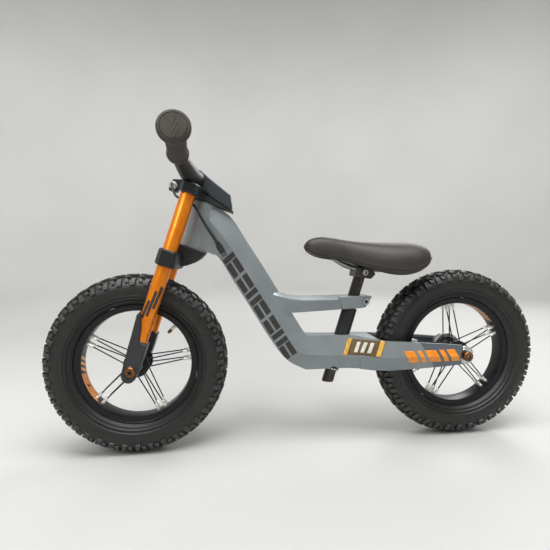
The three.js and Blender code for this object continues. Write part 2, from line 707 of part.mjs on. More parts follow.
// The brake cable runs from the lever round the head to a port in the frame. It is cut in two at
// the point where it passes from the fork's side to the frame's.
const cableJoinWorld = new THREE.Vector3(-201, -30.5, 448);
const cableJoinFork = cableJoinWorld.clone().applyMatrix4(forkMatrix.clone().invert());
const upperCablePoints = [
  [-53, 68, 340], [-53, 56, 340], [-51, 42, 337], [-45, 24, 330], [-36, 6, 320], [-27, -10, 312],
  [-17, -22, 309], [-4, -29, 308], [cableJoinFork.x - 1, -30.4, cableJoinFork.z + 4],
  [cableJoinFork.x, cableJoinFork.y, cableJoinFork.z + 0.4],
];
addMesh(fork, 'upper_brake_cable', rodAlong(upperCablePoints, cableRadius, 16), 'satinBlack', 0.5);
const lowerCablePoints = [
  [-200.3, -30.4, 446.7], [-190, -29.6, 429], [-178, -28.2, 408], [-168.4, -24.4, 393],
  [-161.9, -21.3, 382.6], [-157.9, -20.3, 375.7], [-153.5, -19.1, 367.9],
];
addMesh(object, 'lower_brake_cable', rodAlong(lowerCablePoints, cableRadius, 8), 'satinBlack', 0.5);

// ---- rear axle and brake ----
const rearAxle = new THREE.Group();
rearAxle.position.set(rearAxleX, 0, tyreRadius);
object.add(rearAxle);
addMesh(rearAxle, 'rear_axle', turned([
  [0, -55.5], [4.5, -55.5], [4.5, -dropoutInnerY + gap], [8, -dropoutInnerY + gap], [8, -24.3], [5, -24.3],
  [5, 24.3], [8, 24.3], [8, dropoutInnerY - gap], [4.5, dropoutInnerY - gap], [4.5, 55.5], [0, 55.5]], 12),
'steel', 0.35, 0.9);

sides.forEach(([name, side]) => {
  const y0 = side > 0 ? dropoutInnerY : -dropoutY;
  const y1 = side > 0 ? dropoutY : -dropoutInnerY;
  const slot = [
    moved(rodY(4.9, -80, 80, 16), rearAxleX, 0, tyreRadius),
    box(rearAxleX, rearAxleX + 40, -80, 80, tyreRadius - 4.9, tyreRadius + 4.9),
  ];
  addMesh(object, `${name}_dropout`, combine([plateY(dropoutOutline(0), y0, y1, 0.8)], slot),
    'silver', 0.3, 0.9);
  const nut = [
    [4.8, dropoutY + gap], [13, dropoutY + gap], [13, dropoutY + 2], [9.5, dropoutY + 2.6],
    [9.5, dropoutY + 10], [8.3, dropoutY + 11.2], [4.8, dropoutY + 11.2]];
  addMesh(rearAxle, `${name}_rear_axle_nut`, turned(nut.map(([r, y]) => [r, y * side]), 16, true),
    'copper', 0.3, 0.9);
});

const camPivot = { x: -15, z: -17 };
const armLow = 34.6;
const armHigh = 37.2;

function buildBrakePlate() {
  const disc = ringY(8.4, 29.6, 30, 33.6, 24);
  const strap = plateY([[-58, 7], [-58, -5], [-18, -8], [-18, 12]], 30.6, 33.6);
  const cam = moved(rodY(3.4 + gap, 20, 40, 16), camPivot.x, 0, camPivot.z);
  return combine([disc, strap], [cam, moved(rodY(3, 20, 40, 16), -51, 0, 1)]);
}

function buildBrakeArm() {
  const arm = plateY([[7, 4], [5, -6], [-20, -26], [-27, -25], [-28, -19], [-22, -14], [-3, 8]],
    armLow, armHigh);
  const shaft = rodY(3.4, 26.5, 36, 16);
  return combine([arm, shaft]);
}

addMesh(rearAxle, 'rear_brake_plate', buildBrakePlate(), 'silver', 0.4, 0.85);
const armHolder = new THREE.Group();
armHolder.position.set(camPivot.x, 0, camPivot.z);
rearAxle.add(armHolder);
addMesh(armHolder, 'rear_brake_arm', buildBrakeArm(), 'steel', 0.4, 0.8);

const rearCablePoints = [
  [214, 49, 143.5], [215, 48.8, 136], [220, 47, 129], [230, 42.5, 124.5], [240, 38, 122.6],
];
addMesh(object, 'rear_brake_cable', rodAlong(rearCablePoints, cableRadius, 7), 'satinBlack', 0.5);

// ---- saddle ----
const postTop = 186;
addMesh(object, 'seat_post', onSeatAxis(ringZ(8.8, postRadius, -27, postTop, 16)), 'satinBlack', 0.3, 0.8);

const saddleStations = [
  [3.8, 5, 379, 373], [9, 13, 385.5, 366], [18, 18, 390.5, 360], [34, 21.5, 393.6, 353.5],
  [56, 24, 391.8, 349.5], [80, 28, 388, 345], [104, 38, 384.8, 337.5], [128, 52, 383.2, 329],
  [152, 65, 382.6, 322.5], [178, 72, 383, 321.5], [204, 73, 383, 328], [226, 67, 379.6, 338],
  [242, 53, 372.5, 345.5], [250, 36, 365.5, 350.5], [253.4, 15, 360, 354.5],
];

// Half of the padded cover's section, from the crown of the top down and round under the skirt.
function saddleSection([x, halfWidth, top, low]) {
  const height = top - low;
  const right = [
    [0.42, top - 0.03 * height], [0.74, top - 0.14 * height], [0.95, top - 0.42 * height],
    [1, top - 0.7 * height], [0.96, low + 0.04 * height], [0.86, low + 0.02 * height],
    [0.78, low + 0.28 * height], [0.4, low + 0.34 * height],
  ];
  const left = right.map(([y, z]) => [-y, z]).reverse();
  return [[0, top], ...right, [0, low + 0.34 * height], ...left]
    .map(([y, z]) => [x, y * halfWidth, z]);
}

function baseSection([x, halfWidth, top, low]) {
  const height = top - low;
  return [
    [0.72, low + 0.24 * height], [0.34, low + 0.3 * height], [-0.34, low + 0.3 * height],
    [-0.72, low + 0.24 * height], [-0.68, low + 0.05 * height], [0.68, low + 0.05 * height],
  ].map(([y, z]) => [x, y * halfWidth, z]);
}

addMesh(object, 'saddle_cover', loft(saddleStations.map(saddleSection)), 'leatherette', 0.6);

const clampAt = onSeatAxis(new THREE.BufferGeometry().setFromPoints([new THREE.Vector3(0, 0, postTop)]));
const clampX = clampAt.attributes.position.getX(0);
const railY = 15;
const railPoints = [
  [52, 0, 356.5], [66, 6, 348], [84, 13, 338], [100, railY, 332.5], [118, railY, 329.5], [140, railY, 328],
  [162, 20, 331], [184, 24, 338],
];

function railGeometry(side, radius) {
  return rodAlong(railPoints.map(([x, y, z]) => [x, side * Math.max(y, 5.5), z]), radius, 12, 6);
}

const clampProfile = [[clampX - 15, 318], [clampX - 12, 337], [clampX + 19, 333.5], [clampX + 26, 321],
  [clampX + 17, 312.5], [clampX - 8, 316]];

function buildSeatClamp() {
  const block = plateY(clampProfile, -19.5, 19.5, 1.5);
  const socket = onSeatAxis(rodZ(postRadius + gap, 100, postTop + gap, 16));
  return combine([block], [socket, ...sides.map(([, side]) => railGeometry(side, 3.2 + gap))]);
}

function buildSaddleBase() {
  const base = loft(saddleStations.slice(1, -1).map(baseSection));
  const pocket = plateY(clampProfile.map(([x, z]) => [x < clampX ? x - 2 : x + 2, z > 325 ? z + 2 : z - 2]),
    -22, 22);
  return combine([base], [pocket, ...sides.map(([, side]) => railGeometry(side, 3.2 + gap))]);
}

addMesh(object, 'saddle_base', buildSaddleBase(), 'satinBlack', 0.6);
addMesh(object, 'seat_clamp', buildSeatClamp(), 'silver', 0.5, 0.5);
sides.forEach(([name, side]) => {
  addMesh(object, `${name}_saddle_rail`, railGeometry(side, 3.2), 'steel', 0.4, 0.8);
});
addMesh(object, 'saddle_clamp_bolt', moved(turned([
  [0, -24], [6, -24], [6, -19.9], [0, -19.9]], 16), clampX + 4, 0, 325), 'steel', 0.35, 0.9);

export default object;
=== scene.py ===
import math

import bmesh
import bpy
from mathutils import Matrix, Vector
from mathutils.bvhtree import BVHTree


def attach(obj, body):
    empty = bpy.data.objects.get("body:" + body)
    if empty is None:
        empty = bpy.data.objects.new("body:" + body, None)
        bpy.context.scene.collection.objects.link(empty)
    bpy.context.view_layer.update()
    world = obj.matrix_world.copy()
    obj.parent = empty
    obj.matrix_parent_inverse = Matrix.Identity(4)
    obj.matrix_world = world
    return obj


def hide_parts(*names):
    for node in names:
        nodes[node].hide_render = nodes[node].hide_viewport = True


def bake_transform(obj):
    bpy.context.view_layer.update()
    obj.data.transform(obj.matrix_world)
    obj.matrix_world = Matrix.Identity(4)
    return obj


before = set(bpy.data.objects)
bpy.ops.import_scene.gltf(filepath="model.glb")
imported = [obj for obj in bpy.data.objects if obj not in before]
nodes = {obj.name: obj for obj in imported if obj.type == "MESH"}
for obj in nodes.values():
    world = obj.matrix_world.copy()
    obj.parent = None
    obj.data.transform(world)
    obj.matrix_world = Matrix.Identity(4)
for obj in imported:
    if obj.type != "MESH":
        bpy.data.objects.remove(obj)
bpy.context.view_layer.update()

mm = 0.001

# camera: beside the bike on the rider's left, at handlebar height, turned a little to the rear
view = {"lens": 25.707, "place": (-0.144, -0.74306, 0.35739), "turn": 0.121, "dip": 0.0476, "roll": -0.0077}


def addCamera():
    turn, dip, roll = view["turn"], view["dip"], view["roll"]
    ahead = Vector((math.sin(turn) * math.cos(dip), math.cos(turn) * math.cos(dip), -math.sin(dip)))
    level = Vector((math.cos(turn), -math.sin(turn), 0))
    upright = level.cross(ahead)
    right = math.cos(roll) * level + math.sin(roll) * upright
    up = math.cos(roll) * upright - math.sin(roll) * level
    data = bpy.data.cameras.new("sideCamera")
    data.lens = view["lens"]
    data.sensor_width = 36
    data.clip_start = 0.02
    camera = bpy.data.objects.new("sideCamera", data)
    camera.matrix_world = Matrix((
        (right.x, up.x, -ahead.x, view["place"][0]),
        (right.y, up.y, -ahead.y, view["place"][1]),
        (right.z, up.z, -ahead.z, view["place"][2]),
        (0, 0, 0, 1)))
    bpy.context.scene.collection.objects.link(camera)
    bpy.context.scene.camera = camera


addCamera()
print("camera in place")

# the fork leans back: (behind, right, along the leg) in mm from the front axle
bike = {"axleX": 309, "axleZ": 164, "legY": 49.5, "legBehind": -2}
headLean = math.radians(18.7)
leanSin, leanCos = math.sin(headLean), math.cos(headLean)
forkPlace = Matrix((
    (leanCos, 0, leanSin, -bike["axleX"] * mm), (0, 1, 0, 0),
    (-leanSin, 0, leanCos, bike["axleZ"] * mm), (0, 0, 0, 1)))
frontAxle = Matrix.Translation((-bike["axleX"] * mm, 0, bike["axleZ"] * mm))
rearAxle = Matrix.Translation((bike["axleX"] * mm, 0, bike["axleZ"] * mm))
seatLean = math.radians(17.6)
seatPlace = Matrix((
    (math.cos(seatLean), 0, math.sin(seatLean), 0.0565), (0, 1, 0, 0),
    (-math.sin(seatLean), 0, math.cos(seatLean), 0.139), (0, 0, 0, 1)))
atRest = Matrix.Identity(4)


# colours and materials

def hexColour(code):
    # sRGB hex to linear
    channels = [int(code[k:k + 2], 16) / 255 for k in (1, 3, 5)]
    return [c / 12.92 if c <= 0.04045 else ((c + 0.055) / 1.055) ** 2.4 for c in channels] + [1]


def addNode(tree, kind, settings=None, values=None, links=None):
    node = tree.nodes.new(kind)
    for key, value in (settings or {}).items():
        setattr(node, key, value)
    for key, value in (values or {}).items():
        node.inputs[key].default_value = value
    for key, source in (links or {}).items():
        tree.links.new(source, node.inputs[key])
    return node


def startMaterial(name, **sockets):
    material = bpy.data.materials.new(name)
    material.use_nodes = True
    tree = material.node_tree
    shader = tree.nodes["Principled BSDF"]
    for socket, value in sockets.items():
        shader.inputs[socket.replace("_", " ")].default_value = value
    place = addNode(tree, "ShaderNodeTexCoord").outputs["Object"]
    return material, tree, shader, place


def colourSpread(tree, fac, low, high, at=(0.3, 0.7)):
    ramp = addNode(tree, "ShaderNodeValToRGB", links={"Fac": fac})
    ramp.color_ramp.elements[0].color = hexColour(low)
    ramp.color_ramp.elements[1].color = hexColour(high)
    ramp.color_ramp.elements[0].position, ramp.color_ramp.elements[1].position = at
    return ramp.outputs["Color"]


def roughSpread(tree, fac, low, high):
    return addNode(tree, "ShaderNodeMapRange", values={"To Min": low, "To Max": high},
                   links={"Value": fac}).outputs["Result"]


def grain(tree, place, sizeMm, detail=3.0, stretch=None):
    # noise whose blotches are about sizeMm across
    if stretch:
        place = addNode(tree, "ShaderNodeMapping", values={"Scale": stretch},
                        links={"Vector": place}).outputs["Vector"]
    return addNode(tree, "ShaderNodeTexNoise", values={"Scale": 1000 / sizeMm, "Detail": detail},
                   links={"Vector": place}).outputs["Fac"]


def bumpFrom(tree, height, depthMm, strength=1.0, below=None):
    links = {"Height": height}
    if below is not None:
        links["Normal"] = below
    return addNode(tree, "ShaderNodeBump", values={"Strength": strength, "Distance": depthMm * mm},
                   links=links).outputs["Normal"]


def joinSocket(tree, shader, name, source):
    tree.links.new(source, shader.inputs[name])


# powder-coated cast alloy: metal flake under a satin film with faint orange peel
frameFinish = {"light": "#8b9294", "deep": "#7d8487", "charcoal": "#5f656c", "peelMm": 2.4, "flakeMm": 0.6}
# in metres: the line lies where x + lean * z runs between these two values
charcoalLine = {"lean": 0.585, "starts": 0.3271, "ends": 0.3279}


def castAlloyPaint():
    material, tree, shader, place = startMaterial(
        "satinPowderCoatedAlloy", Metallic=0.42, Roughness=0.4, Coat_Weight=0.25, Coat_Roughness=0.3)
    flake = grain(tree, place, frameFinish["flakeMm"], 1.0)
    drift = grain(tree, place, 60, 2.0)
    base = colourSpread(tree, drift, frameFinish["deep"], frameFinish["light"])
    split = addNode(tree, "ShaderNodeSeparateXYZ", links={"Vector": place})
    # behind a slanted line on each stay the paint turns charcoal
    lean = addNode(tree, "ShaderNodeMath", {"operation": "MULTIPLY_ADD"}, {1: charcoalLine["lean"], 2: 0.0},
                   {0: split.outputs["Z"]})
    across = addNode(tree, "ShaderNodeMath", {"operation": "ADD"},
                     links={0: split.outputs["X"], 1: lean.outputs["Value"]})
    behind = addNode(tree, "ShaderNodeMapRange",
                     values={"From Min": charcoalLine["starts"], "From Max": charcoalLine["ends"]},
                     links={"Value": across.outputs["Value"]})
    mixed = addNode(tree, "ShaderNodeMix", {"data_type": "RGBA"}, {"B": hexColour(frameFinish["charcoal"])},
                    {"Factor": behind.outputs["Result"], "A": base})
    joinSocket(tree, shader, "Base Color", mixed.outputs["Result"])
    joinSocket(tree, shader, "Roughness", roughSpread(tree, grain(tree, place, 22), 0.36, 0.47))
    peel = bumpFrom(tree, grain(tree, place, frameFinish["peelMm"]), 0.04)
    joinSocket(tree, shader, "Normal", bumpFrom(tree, flake, 0.012, below=peel))
    return material


# anodised and polished alloy tube: saturated metal, faint drawing lines along the tube
def anodisedTube(name, low, high, rough=0.24, metallic=0.9):
    material, tree, shader, place = startMaterial(
        name, Metallic=metallic, Coat_Weight=0.18, Coat_Roughness=0.2)
    lines = grain(tree, place, 1.2, 2.0, stretch=(1, 1, 0.02))
    joinSocket(tree, shader, "Base Color", colourSpread(tree, grain(tree, place, 30), low, high))
    joinSocket(tree, shader, "Roughness", roughSpread(tree, lines, rough, rough + 0.06))
    joinSocket(tree, shader, "Normal", bumpFrom(tree, lines, 0.0015))
    return material


# painted casting in two tones: the middle in one, whatever lies further out than the split in the other
def twoTonePaint(name, middle, outer, splitMm):
    material, tree, shader, place = startMaterial(name, Metallic=0.3, Coat_Weight=0.2, Coat_Roughness=0.3)
    split = addNode(tree, "ShaderNodeSeparateXYZ", links={"Vector": place})
    away = addNode(tree, "ShaderNodeMath", {"operation": "ABSOLUTE"}, links={0: split.outputs["Y"]})
    beyond = addNode(tree, "ShaderNodeMapRange",
                     values={"From Min": (splitMm - 0.2) * mm, "From Max": (splitMm + 0.2) * mm},
                     links={"Value": away.outputs["Value"]})
    mixed = addNode(tree, "ShaderNodeMix", {"data_type": "RGBA"},
                    {"A": hexColour(middle), "B": hexColour(outer)}, {"Factor": beyond.outputs["Result"]})
    joinSocket(tree, shader, "Base Color", mixed.outputs["Result"])
    joinSocket(tree, shader, "Roughness", roughSpread(tree, grain(tree, place, 16), 0.34, 0.46))
    joinSocket(tree, shader, "Normal", bumpFrom(tree, grain(tree, place, 2.0), 0.03))
    return material


# painted or moulded parts: one tone with soft blotches and a fine tooth
def tonedPart(name, low, high, rough, toothMm, depthMm, metallic=0.0, blotchMm=18, **sockets):
    material, tree, shader, place = startMaterial(name, Metallic=metallic, **sockets)
    drift = grain(tree, place, blotchMm)
    joinSocket(tree, shader, "Base Color", colourSpread(tree, drift, low, high))
    joinSocket(tree, shader, "Roughness", roughSpread(tree, drift, rough - 0.05, rough + 0.06))
    joinSocket(tree, shader, "Normal", bumpFrom(tree, grain(tree, place, toothMm), depthMm))
    return material


# vulcanised tyre rubber: matt, greyed by dust, finely stippled by the mould
def tyreRubber(name, low, high, rough):
    material, tree, shader, place = startMaterial(name, Specular_IOR_Level=0.5)
    dust = grain(tree, place, 26, 6.0)
    fine = grain(tree, place, 3.0, 4.0)
    mixed = addNode(tree, "ShaderNodeMath", {"operation": "MULTIPLY"}, links={0: dust, 1: fine})
    joinSocket(tree, shader, "Base Color",
               colourSpread(tree, mixed.outputs["Value"], low, high, (0.1, 0.5)))
    joinSocket(tree, shader, "Roughness", roughSpread(tree, dust, rough, rough + 0.18))
    joinSocket(tree, shader, "Normal", bumpFrom(tree, fine, 0.05))
    return material


# leatherette: pressed vinyl with a pebble grain about 1.6 mm across, dull sheen on the worn crown
def leatherette():
    material, tree, shader, place = startMaterial(
        "pressedVinylLeatherette", Coat_Weight=0.12, Coat_Roughness=0.45, Specular_IOR_Level=0.5)
    pebble = addNode(tree, "ShaderNodeTexVoronoi", {"feature": "SMOOTH_F1"},
                     {"Scale": 1000 / 1.6, "Smoothness": 0.6}, {"Vector": place}).outputs["Distance"]
    wear = grain(tree, place, 34, 4.0)
    joinSocket(tree, shader, "Base Color", colourSpread(tree, wear, "#221d1a", "#312a26"))
    joinSocket(tree, shader, "Roughness", roughSpread(tree, wear, 0.5, 0.66))
    joinSocket(tree, shader, "Normal", bumpFrom(tree, pebble, 0.1, below=bumpFrom(tree, wear, 0.3)))
    return material


# grip rubber: soft, chalky, with a diamond knurl pressed at about 2.6 mm
def gripRubber():
    material, tree, shader, place = startMaterial("mouldedGripRubber", Specular_IOR_Level=0.35)
    drift = grain(tree, place, 16, 4.0)
    knurl = addNode(tree, "ShaderNodeTexVoronoi", {"distance": "CHEBYCHEV"},
                    {"Scale": 1000 / 2.6, "Randomness": 0.0}, {"Vector": place}).outputs["Distance"]
    joinSocket(tree, shader, "Base Color", colourSpread(tree, drift, "#3b3731", "#4a453f"))
    joinSocket(tree, shader, "Roughness", roughSpread(tree, drift, 0.66, 0.8))
    joinSocket(tree, shader, "Normal", bumpFrom(tree, knurl, 0.16))
    return material


# printed film: flat ink under a thin clear coat, slightly uneven at its edges
def printedFilm(name, low, high, rough=0.35, metallic=0.0):
    return tonedPart(name, low, high, rough, 0.8, 0.01, metallic, 9, Coat_Weight=0.3, Coat_Roughness=0.2)


paint = castAlloyPaint()
orangeTube = anodisedTube("orangeAnodisedTube", "#e57a08", "#f18a0e", 0.32, 0.6)
blackTube = anodisedTube("blackAnodisedTube", "#3a3632", "#4a443e", 0.22)
satinBlack = tonedPart("satinBlackPaint", "#191a1b", "#232425", 0.4, 1.1, 0.02, 0.15)
rimBlack = tonedPart("blackAnodisedRim", "#111112", "#19191b", 0.34, 0.7, 0.01, 0.4)
crownPaint = twoTonePaint("slateAndBlackCasting", "#454d52", "#1d1f21", 21)
mouldedBlack = tonedPart("mouldedBlackNylon", "#202122", "#2a2b2c", 0.5, 0.9, 0.04)
clampPaint = tonedPart("charcoalSeatClamp", "#35332f", "#45423d", 0.42, 1.2, 0.03, 0.2)
legPaint = tonedPart("mattBlackForkLeg", "#2b2c2d", "#363738", 0.44, 1.4, 0.03, 0.2)
brightSteel = tonedPart("polishedSteel", "#b4b6b8", "#d2d4d6", 0.24, 0.6, 0.006, 1.0)
greySteel = tonedPart("zincPlatedSteel", "#85888b", "#a3a6a8", 0.36, 0.8, 0.01, 1.0)
castSilver = tonedPart("sandCastSilverAlloy", "#9a9c9c", "#b6b8b8", 0.42, 1.2, 0.05, 0.9)
nickel = tonedPart("nickelPlatedBrass", "#dedcd6", "#f4f2ec", 0.3, 0.5, 0.004, 0.7)
copper = anodisedTube("copperAnodisedAlloy", "#6a4524", "#8a5d34")
brass = tonedPart("turnedBrass", "#a5763a", "#c8985a", 0.28, 0.4, 0.008, 1.0)
cableJacket = tonedPart("extrudedCableJacket", "#17181a", "#202123", 0.34, 0.7, 0.008, Coat_Weight=0.3)
tyreBlack = tyreRubber("vulcanisedSidewallRubber", "#141413", "#242321", 0.38)
# tread blocks coloured lighter than the casing: partly dust on the knobs, partly a painted highlight of the
# knob faces
treadDustAndHighlight = tyreRubber("dustyTreadRubberPaintedHighlight", "#2a2a29", "#3e3d3b", 0.4)
tubeRubber = tonedPart("butylTubeRubber", "#151515", "#1e1e1e", 0.6, 2.0, 0.03)
vinyl = leatherette()
gripBlack = gripRubber()
darkInk = printedFilm("charcoalPrintedFilm", "#1f1e1c", "#292724", 0.5)
orangeInk = printedFilm("orangePrintedFilm", "#e07d12", "#ef9628", 0.35)
goldInk = printedFilm("goldPrintedFilm", "#d9a53c", "#eebf5c", 0.3, 0.3)
shadowInk = printedFilm("bronzePrintedFilm", "#57452c", "#6a5537", 0.4, 0.3)
paleInk = printedFilm("palePrintedFilm", "#c9c5b8", "#dad6ca", 0.4)
thread = tonedPart("polyesterThread", "#3a3836", "#4a4744", 0.7, 0.5, 0.02)
# near-black finish for the floors of the hex sockets: painted shade of the deep holes
socketShadePaint = tonedPart("paintedSocketShade", "#0e0e0f", "#171718", 0.6, 0.8, 0.02)
print("materials ready")


# mesh makers, all in mm before they become meshes

def finishMesh(name, points, faces, sharpDegrees=35):
    mesh = bpy.data.meshes.new(name)
    mesh.from_pydata([Vector(p) * mm for p in points], [], faces)
    work = bmesh.new()
    work.from_mesh(mesh)
    bmesh.ops.remove_doubles(work, verts=work.verts, dist=1e-6)
    bmesh.ops.recalc_face_normals(work, faces=work.faces)
    work.to_mesh(mesh)
    work.free()
    mesh.shade_smooth()
    mesh.set_sharp_from_angle(angle=math.radians(sharpDegrees))
    return mesh


def ringFaces(rings, closed):
    # quads between neighbouring loops of point numbers
    faces = []
    for low, high in zip(rings, rings[1:] + (rings[:1] if closed else [])):
        for k in range(len(low)):
            following = (k + 1) % len(low)
            corners = []
            for corner in (low[k], low[following], high[following], high[k]):
                if corner not in corners:
                    corners.append(corner)
            if len(corners) > 2:
                faces.append(corners)
    return faces


def latheParts(outline, segments=64, closed=False):
    # a solid of revolution about Y from (radius, y) pairs
    points, rings = [], []
    for radius, y in outline:
        start = len(points)
        if radius < 1e-4:
            points.append((0, y, 0))
            rings.append([start] * segments)
            continue
        for k in range(segments):
            angle = 2 * math.pi * k / segments
            points.append((radius * math.cos(angle), y, radius * math.sin(angle)))
        rings.append(list(range(start, start + segments)))
    return points, ringFaces(rings, closed)


def loftParts(sections):
    points, rings = [], []
    for section in sections:
        rings.append(list(range(len(points), len(points) + len(section))))
        points += [tuple(p) for p in section]
    return points, ringFaces(rings, False) + [rings[0][::-1], rings[-1]]


def smoothValues(rows, steps):
    # Catmull-Rom through rows of numbers, so that a loft has no kinks
    rows = [list(r) for r in rows]
    before = [2 * a - b for a, b in zip(rows[0], rows[1])]
    after = [2 * a - b for a, b in zip(rows[-1], rows[-2])]
    ends = [before] + rows + [after]
    out = []
    for k in range(1, len(ends) - 2):
        for step in range(steps):
            t = step / steps
            out.append([0.5 * (2 * b + (c - a) * t + (2 * a - 5 * b + 4 * c - d) * t * t
                               + (3 * b - a - 3 * c + d) * t ** 3)
                        for a, b, c, d in zip(*ends[k - 1:k + 3])])
    return out + [rows[-1]]


def tubeParts(path, radius, sides=16, steps=6, radii=None):
    # a round tube along a smooth curve; its ring turns as little as it can
    line = [Vector(p) for p in smoothValues(path, steps)]
    widths = [r[0] for r in smoothValues([[r] for r in radii], steps)] if radii else [radius] * len(line)
    ahead = (line[1] - line[0]).normalized()
    side = ahead.orthogonal().normalized()
    sections = []
    for k, point in enumerate(line):
        following = line[min(k + 1, len(line) - 1)]
        before = line[max(k - 1, 0)]
        turned = (following - before).normalized()
        side = (side - turned * side.dot(turned)).normalized()
        other = turned.cross(side)
        sections.append([point + widths[k] * (math.cos(a) * side + math.sin(a) * other)
                         for a in (2 * math.pi * j / sides for j in range(sides))])
    return loftParts(sections)


def prismParts(outline, low, high):
    # an outline in X and Z, drawn out along Y
    count = len(outline)
    points = [(x, low, z) for x, z in outline] + [(x, high, z) for x, z in outline]
    faces = [list(range(count))[::-1], list(range(count, 2 * count))]
    faces += [[k, (k + 1) % count, count + (k + 1) % count, count + k] for k in range(count)]
    return points, faces


def joinParts(*parts):
    points, faces = [], []
    for morePoints, moreFaces in parts:
        start = len(points)
        points += [tuple(p) for p in morePoints]
        faces += [[start + k for k in face] for face in moreFaces]
    return points, faces


def shifted(parts, x=0, y=0, z=0):
    points, faces = parts
    return [(p[0] + x, p[1] + y, p[2] + z) for p in points], faces


def addPiece(name, parts, material, body, place=atRest, replaced=(), bevel=0, sharp=35):
    mesh = finishMesh(name, parts[0], parts[1], sharp)
    mesh.materials.append(material)
    piece = bpy.data.objects.new(name, mesh)
    bpy.context.scene.collection.objects.link(piece)
    piece.matrix_world = place
    if bevel:
        roundEdges(piece, bevel)
    if body:
        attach(piece, body)
    if replaced:
        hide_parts(*replaced)
    return piece


def roundEdges(piece, widthMm, segments=2, angle=28):
    edge = piece.modifiers.new("roundedEdges", "BEVEL")
    edge.width = widthMm * mm
    edge.segments = segments
    edge.limit_method = "ANGLE"
    edge.angle_limit = math.radians(angle)
    edge.use_clamp_overlap = True
    flat = piece.modifiers.new("flatFaces", "WEIGHTED_NORMAL")
    flat.keep_sharp = True


def dressNode(name, material, widthMm=0.0, angle=28):
    # a CAD piece keeps its shape and gets its finish, welded corners and rounded edges
    piece = nodes[name]
    piece.data.materials.clear()
    piece.data.materials.append(material)
    for attribute in ("custom_normal", "sharp_edge", "sharp_face"):
        if attribute in piece.data.attributes:
            piece.data.attributes.remove(piece.data.attributes[attribute])
    piece.data.shade_smooth()
    weld = piece.modifiers.new("weldedCorners", "WELD")
    weld.merge_threshold = 1e-5
    if widthMm:
        roundEdges(piece, widthMm, 2, angle)
    else:
        piece.modifiers.new("flatFaces", "WEIGHTED_NORMAL")
    return piece


def surfaceOf(piece):
    bpy.context.view_layer.update()
    shaped = piece.evaluated_get(bpy.context.evaluated_depsgraph_get())
    mesh = shaped.to_mesh()
    tree = BVHTree.FromPolygons([piece.matrix_world @ v.co for v in mesh.vertices],
                                [list(p.vertices) for p in mesh.polygons])
    shaped.to_mesh_clear()
    return tree


def addFilm(name, outlines, surface, side, material, body, cellMm=1.6, liftMm=0.22):
    # thin printed shapes, outlined in X and Z, laid on a surface from the left (-1) or right (1)
    work = bmesh.new()
    for outline in outlines:
        part = bmesh.new()
        part.faces.new([part.verts.new((x * mm, 0, z * mm)) for x, z in outline])
        for axis in (0, 2):
            spread = [p[0 if axis == 0 else 1] for p in outline]
            cut = min(spread) + cellMm
            while cut < max(spread):
                point, normal = [0, 0, 0], [0, 0, 0]
                point[axis], normal[axis] = cut * mm, 1
                bmesh.ops.bisect_plane(part, geom=part.verts[:] + part.edges[:] + part.faces[:],
                                       plane_co=point, plane_no=normal)
                cut += cellMm
        scratch = bpy.data.meshes.new("scratch")
        part.to_mesh(scratch)
        part.free()
        work.from_mesh(scratch)
        bpy.data.meshes.remove(scratch)
    missed = []
    for vert in work.verts:
        outside = Vector((vert.co.x, side * 0.4, vert.co.z))
        hit, normal, _, _ = surface.ray_cast(outside, Vector((0, -side, 0)))
        if hit is None:
            missed.append(vert)
        else:
            if normal.y * side < 0:
                normal = -normal
            vert.co = hit + normal * liftMm * mm
    bmesh.ops.delete(work, geom=missed, context="VERTS")
    mesh = bpy.data.meshes.new(name)
    work.to_mesh(mesh)
    work.free()
    for face in mesh.polygons:
        if face.normal.y * side < 0:
            face.flip()
    mesh.shade_smooth()
    mesh.materials.append(material)
    piece = bpy.data.objects.new(name, mesh)
    bpy.context.scene.collection.objects.link(piece)
    film = piece.modifiers.new("filmThickness", "SOLIDIFY")
    film.thickness = 0.12 * mm
    film.offset = -1
    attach(piece, body)
    return piece


# frame: the cast nodes keep their shape
dressNode("main_frame", paint, 1.6, 24)
dressNode("seat_sleeve", satinBlack, 0.5, 40)
dressNode("cable_port_grommet", mouldedBlack, 0.4, 40)
for name in ("lower_headset_bearing", "upper_headset_bearing", "front_left_bearing", "front_right_bearing",
             "rear_left_bearing", "rear_right_bearing", "lever_pivot_pin"):
    dressNode(name, greySteel, 0.3, 40)
dressNode("steerer_tube", satinBlack)
for name in ("front_axle", "rear_axle"):
    dressNode(name, greySteel)
for name in ("left_dropout", "right_dropout"):
    dressNode(name, brightSteel, 0.7, 30)
dressNode("rear_brake_plate", castSilver, 0.5, 30)
dressNode("rear_brake_arm", greySteel, 0.5, 30)
for name in ("front_inner_tube", "rear_inner_tube"):
    dressNode(name, tubeRubber)

# fork and crowns
dressNode("lower_crown", satinBlack, 2.0)
dressNode("upper_crown", crownPaint, 1.6)
dressNode("headset_cover", mouldedBlack, 1.2)
for name in ("left_lower_leg", "right_lower_leg"):
    dressNode(name, legPaint, 2.4)
dressNode("brake_perch", satinBlack, 0.8)
dressNode("saddle_base", mouldedBlack, 1.5)
dressNode("seat_clamp", clampPaint, 1.4)
print("cast pieces dressed")

# brake cable: one jacket from the lever to the port in the frame
brakeCable = {"radius": 2.3, "wire": 0.8}


def onFork(t, y, s):
    return (-bike["axleX"] + s * leanSin + t * leanCos, y, bike["axleZ"] + s * leanCos - t * leanSin)


